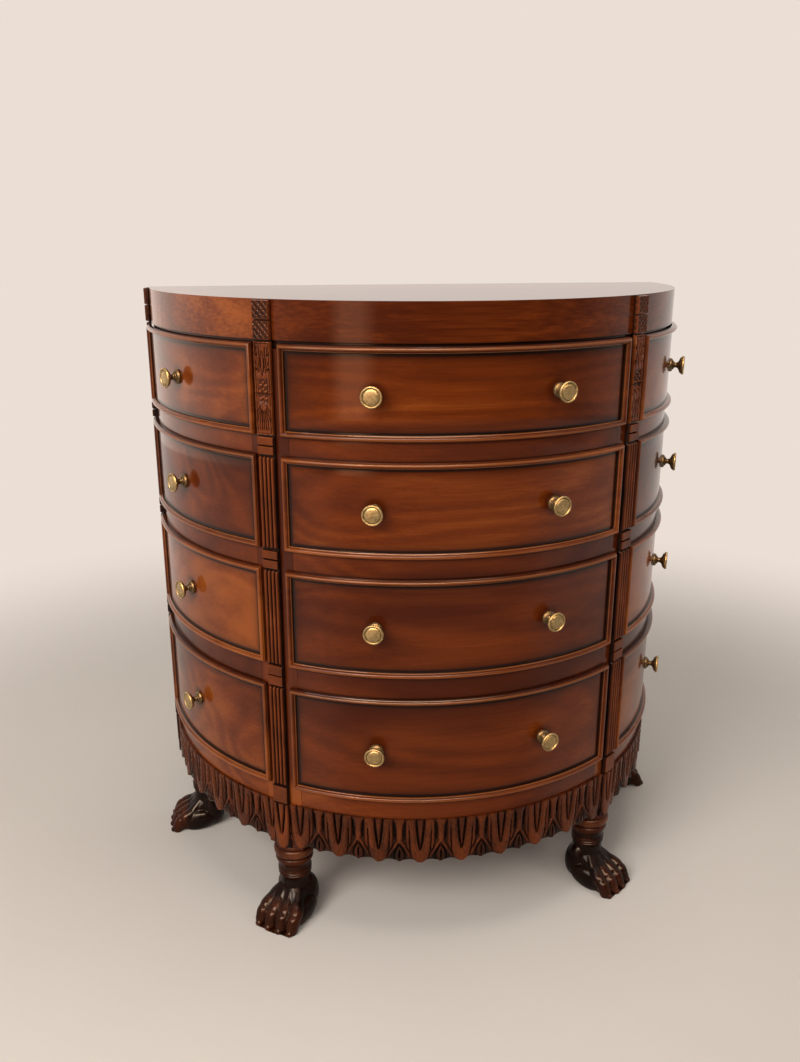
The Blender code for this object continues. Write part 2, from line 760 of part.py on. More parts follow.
def paw_foot():
    """Paw foot under a turned shaft, pointing along -Y, with the shaft on its own axis."""
    stations = ((0.00, 0.92), (0.10, 1.00), (0.24, 0.97), (0.32, 0.82), (0.41, 0.88),
                (0.53, 0.80), (0.69, 0.80), (0.78, 0.72), (1.00, 0.45))
    low = PAW_HEIGHT / 2
    drop = FOOT_HEIGHT - low
    outline = [(SHAFT_RADIUS * swell, FOOT_HEIGHT - drop * share) for share, swell in stations]
    shaft = turned([(0.0, FOOT_HEIGHT), *outline, (0.0, low)], SHAFT_STEPS, "paw_foot")
    return combine("UNION", moved(shaft, facing(180.0 / SHAFT_STEPS)), [paw()])


def build_carcase(chest):
    """The fixed boards, posts, aprons and feet."""
    panel = panel_mahogany()
    carved = carved_mahogany()
    hidden = carcase_wood()
    place("top_board", top_board(), panel, chest)
    place("frieze", frieze(), panel, chest)
    place("back_panel", back_panel(), hidden, chest)
    place("base_board", shelf(0, "base_board"), panel, chest)
    for row in range(1, len(LEVELS)):
        place(f"dust_board_{len(LEVELS) - row}", dust_board(row), panel, chest)
    strip = applied_strip()
    for name, mesh, material in (("partition", partition(), hidden),
                                 ("front_pilaster", front_pilaster(strip), carved),
                                 ("back_pilaster", back_pilaster(strip), carved)):
        place(f"{name}_right", mesh, material, chest)
        place(f"{name}_left", mirrored(mesh), material, chest)
    for bay in BAYS:
        place(f"apron_{bay.name}", moved(apron(bay), facing(bay.angle)), carved, chest)


def build_feet(chest):
    """Four paw feet: the front pair points out with the pilasters, the back pair sideways."""
    dark = dark_mahogany()
    mesh = paw_foot()
    for name, side in (("left", -1), ("right", 1)):
        x, y = polar(PLAN_RADIUS - FRONT_FOOT_INSET, side * FRONT_FOOT_ANGLE)
        front = place(f"front_foot_{name}", mesh.copy(), dark, chest)
        front.location = (x, y, 0.0)
        front.rotation_euler = (0.0, 0.0, math.radians(side * FRONT_FOOT_ANGLE))
        back = place(f"back_foot_{name}", mesh.copy(), dark, chest)
        back.location = (side * (PLAN_RADIUS - BACK_FOOT_INSET), -BACK_FOOT_FORWARD, 0.0)
        back.rotation_euler = (0.0, 0.0, math.radians(side * 90.0))


def build_drawers(chest):
    """Twelve drawers, each on a guide whose -Y axis is the way that it slides."""
    panel = panel_mahogany()
    hidden = carcase_wood()
    brass = antique_brass()
    turned_knob = knob()
    for bay in BAYS:
        for row in range(len(LEVELS)):
            name = f"{bay.name}_drawer_{len(LEVELS) - row}"
            slide = empty(f"{name}_slide", (0.0, 0.0, 0.0), bay.angle, chest)
            place(f"{name}_front", drawer_front(bay, row), panel, slide)
            place(f"{name}_box", drawer_box(bay, row), hidden, slide)
            height = sum(LEVELS[row]) / 2
            for index, angle in enumerate(bay.knobs):
                label = f"{name}_knob" if len(bay.knobs) == 1 else f"{name}_knob_{'lr'[index]}"
                piece = place(label, turned_knob.copy(), brass, slide)
                x, y = polar(FIELD_RADIUS + SEAT, angle)
                piece.location = (x, y, height)
                piece.rotation_euler = (0.0, 0.0, math.radians(angle))


def main():
    """Clears the scene and builds the chest with its box centred over the origin."""
    for item in list(bpy.data.objects):
        bpy.data.objects.remove(item)
    chest = empty("chest", (0.0, FRONT_REACH / 2, 0.0))
    build_carcase(chest)
    build_feet(chest)
    build_drawers(chest)
    bpy.context.view_layer.update()


main()
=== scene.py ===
"""Looks of a half-moon chest of twelve drawers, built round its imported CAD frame.

Every piece is modelled about the upright axis in the middle of the chest's back, with the
front towards -Y, and is then settled on the frame. Lengths are metres, angles of the plan
are degrees round from the front centre line, and carved heights are millimetres.
"""

import logging
import math
from contextlib import contextmanager
from dataclasses import dataclass
from enum import Enum
from functools import reduce
from typing import Callable, Iterator, Sequence

import bmesh
import bpy
import numpy as np
from bpy.types import Material, Node, NodeSocket, Object, World
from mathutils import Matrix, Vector


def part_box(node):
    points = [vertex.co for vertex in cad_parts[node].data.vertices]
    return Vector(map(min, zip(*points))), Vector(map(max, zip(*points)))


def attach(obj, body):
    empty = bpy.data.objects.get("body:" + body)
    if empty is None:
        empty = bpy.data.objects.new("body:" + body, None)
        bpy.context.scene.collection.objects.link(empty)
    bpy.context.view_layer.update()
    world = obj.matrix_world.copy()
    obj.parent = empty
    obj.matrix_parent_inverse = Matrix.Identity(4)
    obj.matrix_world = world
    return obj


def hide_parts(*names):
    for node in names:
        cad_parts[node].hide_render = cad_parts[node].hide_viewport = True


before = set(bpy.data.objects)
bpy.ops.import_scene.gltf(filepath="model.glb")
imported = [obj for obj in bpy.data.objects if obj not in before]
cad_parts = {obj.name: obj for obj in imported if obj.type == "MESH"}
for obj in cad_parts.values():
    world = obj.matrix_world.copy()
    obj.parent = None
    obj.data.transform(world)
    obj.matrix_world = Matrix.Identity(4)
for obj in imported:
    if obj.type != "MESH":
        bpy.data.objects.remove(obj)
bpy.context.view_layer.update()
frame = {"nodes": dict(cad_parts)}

log = logging.getLogger("chest")

Colour = tuple[float, float, float]
Point = tuple[float, float, float]
PlanPoint = tuple[float, float]
Profile = tuple[PlanPoint, ...]
Array = np.ndarray
TwoArrays = tuple[Array, Array]
Field = Callable[[Array, Array], TwoArrays]

MM = 0.001
BACK_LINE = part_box("back_panel")[1][1]
PLAN_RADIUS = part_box("top_board")[1][0]
POST_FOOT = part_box("front_pilaster_left")[0][2]
PILASTER_ANGLE = 37.5
PILASTER_WIDTH = 0.027
SIDE_ANGLE = 62.92
ROWS = (1, 2, 3, 4)
SIDES = (("left", -1), ("right", 1))
FAR_BELOW = -99.0
BOARD_SHIFT = (3.17, 0.0, 1.73)


class Grain(Enum):
    """Way that the grain of a board runs."""

    ROUND = "round the bowed front"
    ACROSS = "from side to side"
    UPRIGHT = "up and down"
    LEVEL = "level along each side of a box"


class Slot(Enum):
    """Material slots of the record."""

    PANEL = "panel_mahogany"
    CARVED = "carved_mahogany"
    DARK = "dark_mahogany"
    BRASS = "antique_brass"


class Part(Enum):
    """Parts of a mesh that can be selected."""

    POINTS = "VERT"
    EDGES = "EDGE"
    FACES = "FACE"


# Workshop operators

def clear_choice() -> None:
    """Leaves nothing selected."""
    bpy.ops.object.select_all(action="DESELECT")


def choose_all() -> None:
    """Selects all of the open piece."""
    bpy.ops.mesh.select_all(action="SELECT")


def draw_out(step: Point) -> None:
    """Extrudes what is selected of the open piece by a step."""
    bpy.ops.mesh.extrude_region_move(TRANSFORM_OT_translate={"value": step})


def take_up(piece: Object) -> None:
    """Makes one piece the only selected and active one.

    Args:
        piece: The piece.
    """
    clear_choice()
    piece.select_set(True)
    bpy.context.view_layer.objects.active = piece


@contextmanager
def editing(piece: Object, part: Part = Part.POINTS) -> Iterator[None]:
    """Opens a piece in edit mode with nothing selected.

    Args:
        piece: The mesh object to open.
        part: What is selected in it.

    Yields:
        Nothing, while the piece is open.
    """
    take_up(piece)
    bpy.ops.object.mode_set(mode="EDIT")
    bpy.ops.mesh.select_mode(type=part.value)
    bpy.ops.mesh.select_all(action="DESELECT")
    yield
    bpy.ops.object.mode_set(mode="OBJECT")


def pick(piece: Object, part: Part, test: Callable[[bmesh.types.BMFace | bmesh.types.BMEdge], bool]) -> None:
    """Selects the faces or edges of an open piece that pass a test, and no others.

    Args:
        piece: The piece, open in edit mode.
        part: Faces or edges.
        test: Says whether one of them is selected.
    """
    form = bmesh.from_edit_mesh(piece.data)
    for element in form.faces if part is Part.FACES else form.edges:
        element.select_set(test(element))
    form.select_flush_mode()
    bmesh.update_edit_mesh(piece.data)


def clean_skin() -> None:
    """Merges doubles of the open piece and turns its faces outwards."""
    choose_all()
    bpy.ops.mesh.remove_doubles(threshold=1e-6)
    bpy.ops.mesh.normals_make_consistent(inside=False)


def fix_place(piece: Object) -> None:
    """Puts a piece's place, turn and scale into its mesh."""
    take_up(piece)
    bpy.ops.object.transform_apply(location=True, rotation=True, scale=True)


def stand(piece: Object, angle: float, place: Sequence[float] = (0.0, 0.0, 0.0)) -> None:
    """Turns a piece about the plan axis, moves it, and puts both into its mesh.

    Args:
        piece: The piece, drawn at the origin.
        angle: Angle of the plan that its front faces.
        place: Move after the turn.
    """
    piece.rotation_euler = (0.0, 0.0, math.radians(angle))
    piece.location = place
    fix_place(piece)


def settle(piece: Object, angle: float = 0.0, shift: Point = (0.0, 0.0, 0.0)) -> Object:
    """Carries a piece from the plan axis to its place on the frame, turned to an angle and then shifted."""
    stand(piece, angle, Vector((0.0, BACK_LINE, 0.0)) + Vector(shift))
    return piece


def named(name: str) -> Object:
    """Names the active piece and its mesh.

    Args:
        name: Its name.

    Returns:
        The active piece.
    """
    piece = bpy.context.object
    piece.name = name
    piece.data.name = name
    return piece


def polar(radius: float, angle: float) -> PlanPoint:
    """Plan point at a radius and an angle from the front centre line."""
    turn = math.radians(angle)
    return radius * math.sin(turn), -radius * math.cos(turn)


def block(name: str, low: Point, high: Point, ease: float = 0.0005) -> Object:
    """A cube drawn out between two corners, with its edges eased.

    Args:
        name: Name of the piece.
        low: Lowest corner.
        high: Highest corner.
        ease: Width of the bevel.

    Returns:
        The block.
    """
    clear_choice()
    middle = [(a + b) / 2 for a, b in zip(low, high)]
    bpy.ops.mesh.primitive_cube_add(size=1.0, location=middle)
    piece = named(name)
    piece.scale = [b - a for a, b in zip(low, high)]
    fix_place(piece)
    with editing(piece, Part.EDGES):
        choose_all()
        bpy.ops.mesh.bevel(offset=ease, segments=2, affect="EDGES")
    return piece


def drawn_line(name: str, points: Sequence[Point], closed: bool = False) -> Object:
    """A line drawn by extruding one point from place to place.

    Args:
        name: Name of the piece.
        points: Places along the line.
        closed: Whether an edge joins the last point to the first.

    Returns:
        The line as a mesh of edges.
    """
    clear_choice()
    bpy.ops.mesh.primitive_plane_add(size=MM, location=points[0])
    piece = named(name)
    fix_place(piece)
    with editing(piece):
        choose_all()
        bpy.ops.mesh.merge(type="CENTER")
        for near, far in zip(points, points[1:]):
            step = [b - a for a, b in zip(near, far)]
            bpy.ops.mesh.extrude_vertices_move(TRANSFORM_OT_translate={"value": step})
        if closed:
            form = bmesh.from_edit_mesh(piece.data)
            ends = [vert for vert in form.verts if len(vert.link_edges) == 1]
            for vert in form.verts:
                vert.select_set(vert in ends)
            bmesh.update_edit_mesh(piece.data)
            bpy.ops.mesh.edge_face_add()
    return piece


def spun(name: str, section: Sequence[PlanPoint], half: float, steps: int) -> Object:
    """A closed section of radius and height swept round the plan axis, with flat ends.

    Args:
        name: Name of the piece.
        section: Corners of the section.
        half: Half of the swept angle.
        steps: Steps of the sweep.

    Returns:
        The swept piece about the front centre line.
    """
    piece = drawn_line(name, [(*polar(radius, half), height) for radius, height in section], closed=True)
    with editing(piece):
        choose_all()
        bpy.ops.mesh.spin(steps=steps, angle=2 * math.radians(half), center=(0, 0, 0), axis=(0, 0, 1))
        clean_skin()
        bpy.ops.mesh.fill_holes(sides=0)
        clean_skin()
    return piece


def turned(name: str, profile: Sequence[PlanPoint], steps: int) -> Object:
    """A turned piece from points of radius and height, with its ends on the axis.

    Args:
        name: Name of the piece.
        profile: Points from one end of the axis to the other.
        steps: Steps round the axis.

    Returns:
        The turned piece, upright on the origin.
    """
    piece = drawn_line(name, [(radius, 0.0, height) for radius, height in profile])
    with editing(piece):
        choose_all()
        bpy.ops.mesh.spin(steps=steps, angle=2 * math.pi, center=(0, 0, 0), axis=(0, 0, 1))
        clean_skin()
    return piece


def half_disc(name: str, radius: float, points: int, low: float, high: float, back: float = 0.0) -> Object:
    """A disc sawn in half and drawn up to its thickness.

    Args:
        name: Name of the piece.
        radius: Its radius.
        points: Points round the whole disc.
        low: Height of its under side.
        high: Height of its upper side.
        back: Distance of the sawn edge in front of the plan axis.

    Returns:
        The closed half disc, with its round edge towards the front.
    """
    clear_choice()
    bpy.ops.mesh.primitive_circle_add(vertices=points, radius=radius, fill_type="NGON", location=(0, 0, low))
    piece = named(name)
    fix_place(piece)
    with editing(piece):
        choose_all()
        bpy.ops.mesh.bisect(plane_co=(0, -back, 0), plane_no=(0, 1, 0), clear_outer=True)
        choose_all()
        draw_out((0, 0, high - low))
        clean_skin()
    return piece


def cut(piece: Object, place: Point, outward: Point) -> None:
    """Saws off the part of a closed piece beyond a plane and closes the cut.

    Args:
        piece: The piece to cut.
        place: A point of the plane.
        outward: Direction of the part that goes.
    """
    with editing(piece):
        choose_all()
        bpy.ops.mesh.bisect(plane_co=place, plane_no=outward, clear_outer=True, use_fill=True)
        clean_skin()


def joined(name: str, pieces: Sequence[Object]) -> Object:
    """Several meshes as one piece.

    Args:
        name: Name of the whole.
        pieces: The meshes, which go into the first.

    Returns:
        The whole.
    """
    take_up(pieces[0])
    for piece in pieces[1:]:
        piece.select_set(True)
    bpy.ops.object.join()
    return named(name)


def copied(piece: Object, name: str) -> Object:
    """A copy of a piece with its own mesh.

    Args:
        piece: The piece.
        name: Name of the copy.

    Returns:
        The copy.
    """
    take_up(piece)
    bpy.ops.object.duplicate(linked=False)
    return named(name)


def discard(piece: Object) -> None:
    """Removes a pattern piece that has been copied."""
    bpy.data.objects.remove(piece)


def applied(piece: Object, kind: str, **settings: object) -> None:
    """Adds a modifier to a piece and applies it.

    Args:
        piece: The piece to change.
        kind: Type of the modifier.
        settings: Properties of the modifier.
    """
    take_up(piece)
    bpy.ops.object.modifier_add(type=kind)
    modifier = piece.modifiers[-1]
    for name, value in settings.items():
        setattr(modifier, name, value)
    bpy.ops.object.modifier_apply(modifier=modifier.name)


def bent(piece: Object, arc: float) -> None:
    """Bends a flat piece of an arc's length, at y = 0 on the front centre line, to the round of the plan."""
    applied(piece, "SIMPLE_DEFORM", deform_method="BEND", deform_axis="Z", angle=arc / PLAN_RADIUS)
    stand(piece, 0.0, (0.0, -PLAN_RADIUS, 0.0))


def smooth(piece: Object, angle: float = 35.0) -> None:
    """Shades a piece smooth, apart from its sharp edges."""
    take_up(piece)
    bpy.ops.object.shade_smooth_by_angle(angle=math.radians(angle))


def coordinates(piece: Object) -> Array:
    """Vertex places of a piece as rows of x, y and z.

    Args:
        piece: The piece.

    Returns:
        One row for each vertex.
    """
    places = np.empty(len(piece.data.vertices) * 3)
    piece.data.vertices.foreach_get("co", places)
    return places.reshape(-1, 3)


def mark(piece: Object, name: str, values: Array) -> None:
    """Stores one number for each vertex, which a finish reads by its name."""
    layer = piece.data.attributes.new(name, "FLOAT", "POINT")
    layer.data.foreach_set("value", values.astype(np.float32))


def mark_board(piece: Object, number: float, tone: Array | float = 0.0) -> None:
    """Gives a piece its own board and tone, so that its grain differs from its neighbour's.

    Args:
        piece: The piece to mark.
        number: Number that shifts the grain.
        tone: -1 for a dark board to 1 for a light one.
    """
    count = len(piece.data.vertices)
    mark(piece, "board", np.full(count, number))
    mark(piece, "tone", np.broadcast_to(tone, count))


def veneer_and_light_tone(piece: Object) -> Array:
    """Tone of the frieze's veneers; beyond the left pilaster it is painted lighter, as painted light on the
    brighter left end.
    """
    joint = polar(PLAN_RADIUS, -PILASTER_ANGLE)[0]
    return np.where(coordinates(piece)[:, 0] < joint, -0.5, -1.4)


def mark_frame(piece: Object, half_across: float, middle: float, half_up: float) -> None:
    """Marks each point with its place inside a frame, for the painted shade, dark polish and painted
    highlights in the finish.

    Args:
        piece: The piece, before it is bent.
        half_across: Half of the frame's length along X.
        middle: Height of the frame's middle.
        half_up: Half of the frame's height.
    """
    x, y, z = coordinates(piece).T
    beyond = np.where(y > MM, 1.0, 0.0)
    mark(piece, "lip_across", x)
    mark(piece, "lip_up", z - middle)
    mark(piece, "half_across", half_across + beyond)
    mark(piece, "half_up", half_up + beyond)


def mark_wear(piece: Object, depth: float, rounds: int = 40) -> None:
    """Marks hollows with 0 and crests with 1, from how far smoothing moves each point.

    Args:
        piece: The piece to mark.
        depth: Move, in metres, that counts as a full hollow or crest.
        rounds: Rounds of smoothing.
    """
    mesh = piece.data
    ends = np.empty(len(mesh.edges) * 2, dtype=np.int64)
    mesh.edges.foreach_get("vertices", ends)
    near, far = ends.reshape(-1, 2).T
    normals = np.empty(len(mesh.vertices) * 3)
    mesh.vertices.foreach_get("normal", normals)
    start = coordinates(piece)
    count = np.bincount(ends, minlength=len(start)).astype(float)[:, None]
    places = start.copy()
    for _ in range(rounds):
        total = np.zeros_like(places)
        np.add.at(total, near, places[far])
        np.add.at(total, far, places[near])
        places = 0.5 * places + 0.5 * total / np.maximum(count, 1.0)
    sunk = np.einsum("ij,ij->i", places - start, normals.reshape(-1, 3))
    mark(piece, "carve", np.clip(0.5 - sunk / (2 * depth), 0.0, 1.0))


def paint_shade_by_wear(piece: Object, share: Array | float) -> None:
    """Darkens a carved piece with painted shade, by leaving only a share of the wear marked on it.

    Args:
        piece: The carved piece.
        share: What is left, for the whole piece or for each vertex.
    """
    layer = piece.data.attributes["carve"]
    wear = np.empty(len(piece.data.vertices))
    layer.data.foreach_get("value", wear)
    layer.data.foreach_set("value", (wear * share).astype(np.float32))


def dressed(piece: Object, finish: "Finish") -> Object:
    """Gives a whole piece one finish.

    Args:
        piece: The piece.
        finish: Its finish.

    Returns:
        The same piece.
    """
    piece.data.materials.clear()
    piece.data.materials.append(finish.material())
    return piece


def mounted(piece: Object, body: str, slot: Slot, *nodes: str) -> None:
    """Sets a dressed piece on the frame in the place of CAD nodes.

    Args:
        piece: The finished piece.
        body: CAD body that it moves with.
        slot: The record's material slot; not used.
        nodes: CAD nodes that it stands for.
    """
    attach(piece, body)
    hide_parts(*nodes)
    log.info("%s: %d faces on %s", piece.name, len(piece.data.polygons), body)


# Finishes

def rgba(colour: object) -> object:
    """A colour with full alpha, or the socket that gives one."""
    return colour if isinstance(colour, NodeSocket) else (*colour, 1.0)


class Sheet:
    """Node tree of one material, wired by short calls."""

    def __init__(self, name: str) -> None:
        """Starts an empty material with a shader and an output.

        Args:
            name: Name of the material.
        """
        self.stuff = bpy.data.materials.new(name)
        self.stuff.use_nodes = True
        self.tree = self.stuff.node_tree
        self.shader = self.tree.nodes["Principled BSDF"]

    @classmethod
    def of_world(cls, world: World) -> "Sheet":
        """An empty sheet on the tree of a world.

        Args:
            world: The world to draw on.

        Returns:
            The sheet, which has no shader.
        """
        sheet = cls.__new__(cls)
        sheet.tree = world.node_tree
        sheet.tree.nodes.clear()
        return sheet

    def node(self, kind: str, inputs: dict, **settings: object) -> Node:
        """Adds a node.

        Args:
            kind: Type of the node, without its prefix.
            inputs: Values or sockets, by the input's name or number.
            settings: Properties of the node.

        Returns:
            The node.
        """
        node = self.tree.nodes.new("ShaderNode" + kind)
        for name, value in settings.items():
            setattr(node, name, value)
        for name, value in inputs.items():
            self.feed(node.inputs[name], value)
        return node

    def feed(self, socket: NodeSocket, value: object) -> None:
        """Links a socket to another, or sets its value.

        Args:
            socket: The input.
            value: A value, or the output to link.
        """
        if isinstance(value, NodeSocket):
            self.tree.links.new(value, socket)
        else:
            socket.default_value = value

    def math(self, operation: str, first: object, second: object = 0.0) -> NodeSocket:
        """An operation on one or two numbers."""
        return self.node("Math", {0: first, 1: second}, operation=operation).outputs[0]

    def vector(self, operation: str, first: object, second: object) -> NodeSocket:
        """An operation on two vectors."""
        return self.node("VectorMath", {0: first, 1: second}, operation=operation).outputs[0]

    def scaled(self, value: object, factor: object) -> NodeSocket:
        """A number times another."""
        return self.math("MULTIPLY", value, factor)

    def rest(self, share: object) -> NodeSocket:
        """What a share leaves of 1."""
        return self.math("SUBTRACT", 1.0, share)

    def total(self, *numbers: object) -> NodeSocket:
        """The sum of several numbers."""
        return reduce(lambda so_far, number: self.math("ADD", so_far, number), numbers)

    def texture(self, space: str) -> NodeSocket:
        """Texture coordinates of one kind."""
        return self.node("TexCoord", {}).outputs[space]

    def parts(self, place: NodeSocket) -> Sequence[NodeSocket]:
        """X, Y and Z of a place."""
        return self.node("SeparateXYZ", {0: place}).outputs

    def point(self, x: object, y: object, z: object = 0.0) -> NodeSocket:
        """A place from its X, Y and Z."""
        return self.node("CombineXYZ", {0: x, 1: y, 2: z}).outputs[0]

    def length(self, place: NodeSocket) -> NodeSocket:
        """Distance of a place from the origin."""
        return self.node("VectorMath", {0: place}, operation="LENGTH").outputs["Value"]

    def glow(self, kind: str, colour: object, strength: object = 1.0) -> NodeSocket:
        """Light of a colour, from an Emission or a Background node."""
        return self.node(kind, {"Color": rgba(colour), "Strength": strength}).outputs[0]

    def either(self, share: object, first: NodeSocket, second: NodeSocket) -> NodeSocket:
        """Two shaders mixed by the share of the second."""
        return self.node("MixShader", {0: share, 1: first, 2: second}).outputs[0]

    def noise(self, place: NodeSocket, scale: Point, detail: float, warp: float = 0.0) -> NodeSocket:
        """Noise with its own scale along each axis, in turns for each metre.

        Args:
            place: Place on the piece.
            scale: Turns along each axis.
            detail: Octaves of the noise.
            warp: Its distortion.

        Returns:
            Noise from 0 to 1.
        """
        stretched = self.vector("MULTIPLY", place, scale)
        inputs = {"Vector": stretched, "Scale": 1.0, "Detail": detail, "Distortion": warp}
        return self.node("TexNoise", inputs).outputs["Fac"]

    def span(self, value: NodeSocket, low: float, high: float) -> NodeSocket:
        """A number carried from a span to 0 to 1, held at its ends."""
        inputs = {"Value": value, "From Min": low, "From Max": high}
        return self.node("MapRange", inputs, interpolation_type="SMOOTHSTEP").outputs[0]

    def blend(self, share: object, first: object, second: object) -> NodeSocket:
        """Two colours blended by the share of the second."""
        inputs = {0: share, 6: rgba(first), 7: rgba(second)}
        return self.node("Mix", inputs, data_type="RGBA").outputs[2]

    def ramp(self, share: NodeSocket, stops: Sequence[tuple[float, Colour]]) -> NodeSocket:
        """A run of colours over 0 to 1.

        Args:
            share: Place along the run.
            stops: Places with their colours.

        Returns:
            The colour.
        """
        node = self.node("ValToRGB", {"Fac": share})
        elements = node.color_ramp.elements
        while len(elements) < len(stops):
            elements.new(0.5)
        for element, (place, colour) in zip(elements, stops):
            element.position = place
            element.color = (*colour, 1.0)
        return node.outputs["Color"]

    def attribute(self, name: str) -> NodeSocket:
        """A number stored on the piece's vertices."""
        return self.node("Attribute", {}, attribute_name=name).outputs["Fac"]

    def hollow(self, reach: float) -> NodeSocket:
        """How open a point is to its own piece's surroundings, 0 in a hollow."""
        inputs = {"Distance": reach}
        return self.node("AmbientOcclusion", inputs, only_local=True, samples=8).outputs["AO"]

    def place(self, grain: Grain) -> NodeSocket:
        """Place on a board: along the grain, through the board, and across the grain.

        Args:
            grain: Way that the grain runs.

        Returns:
            The place, shifted by the number of the board.
        """
        place = self.texture("Object")
        parts = self.parts(place)
        if grain is Grain.ROUND:
            ahead = self.math("SUBTRACT", BACK_LINE, parts[1])
            turn = self.math("ARCTAN2", parts[0], ahead)
            along = self.scaled(turn, PLAN_RADIUS)
            order = (along, ahead, parts[2])
        elif grain is Grain.ACROSS:
            order = (parts[0], parts[2], parts[1])
        elif grain is Grain.LEVEL:
            normal = self.texture("Normal")
            sideways = self.math("ABSOLUTE", self.parts(normal)[0])
            side = self.math("GREATER_THAN", sideways, 0.6)
            swap = self.scaled(side, self.math("SUBTRACT", parts[1], parts[0]))
            order = (self.total(parts[0], swap), parts[2], self.math("SUBTRACT", parts[1], swap))
        else:
            order = (parts[2], parts[1], parts[0])
        number = self.attribute("board")
        shift = self.vector("MULTIPLY", self.point(number, 0.0, number), BOARD_SHIFT)
        return self.vector("ADD", self.point(*order), shift)

    def raise_by(self, height: NodeSocket, strength: float, depth: float) -> None:
        """Bump from a height between 0 and 1."""
        inputs = {"Height": height, "Strength": strength, "Distance": depth}
        self.feed(self.shader.inputs["Normal"], self.node("Bump", inputs).outputs["Normal"])

    def set(self, **values: object) -> None:
        """Feeds inputs of the shader, named with underscores for spaces."""
        for name, value in values.items():
            self.feed(self.shader.inputs[name.replace("_", " ")], value)


@dataclass(frozen=True)
class Finish:
    """A finish that is mixed once and shared by its pieces."""

    name: str

    def material(self) -> Material:
        """The material, mixed at its first use."""
        stuff = bpy.data.materials.get(self.name)
        return stuff if stuff else self.mix()

    def mix(self) -> Material:
        """Mixes the material."""
        raise NotImplementedError


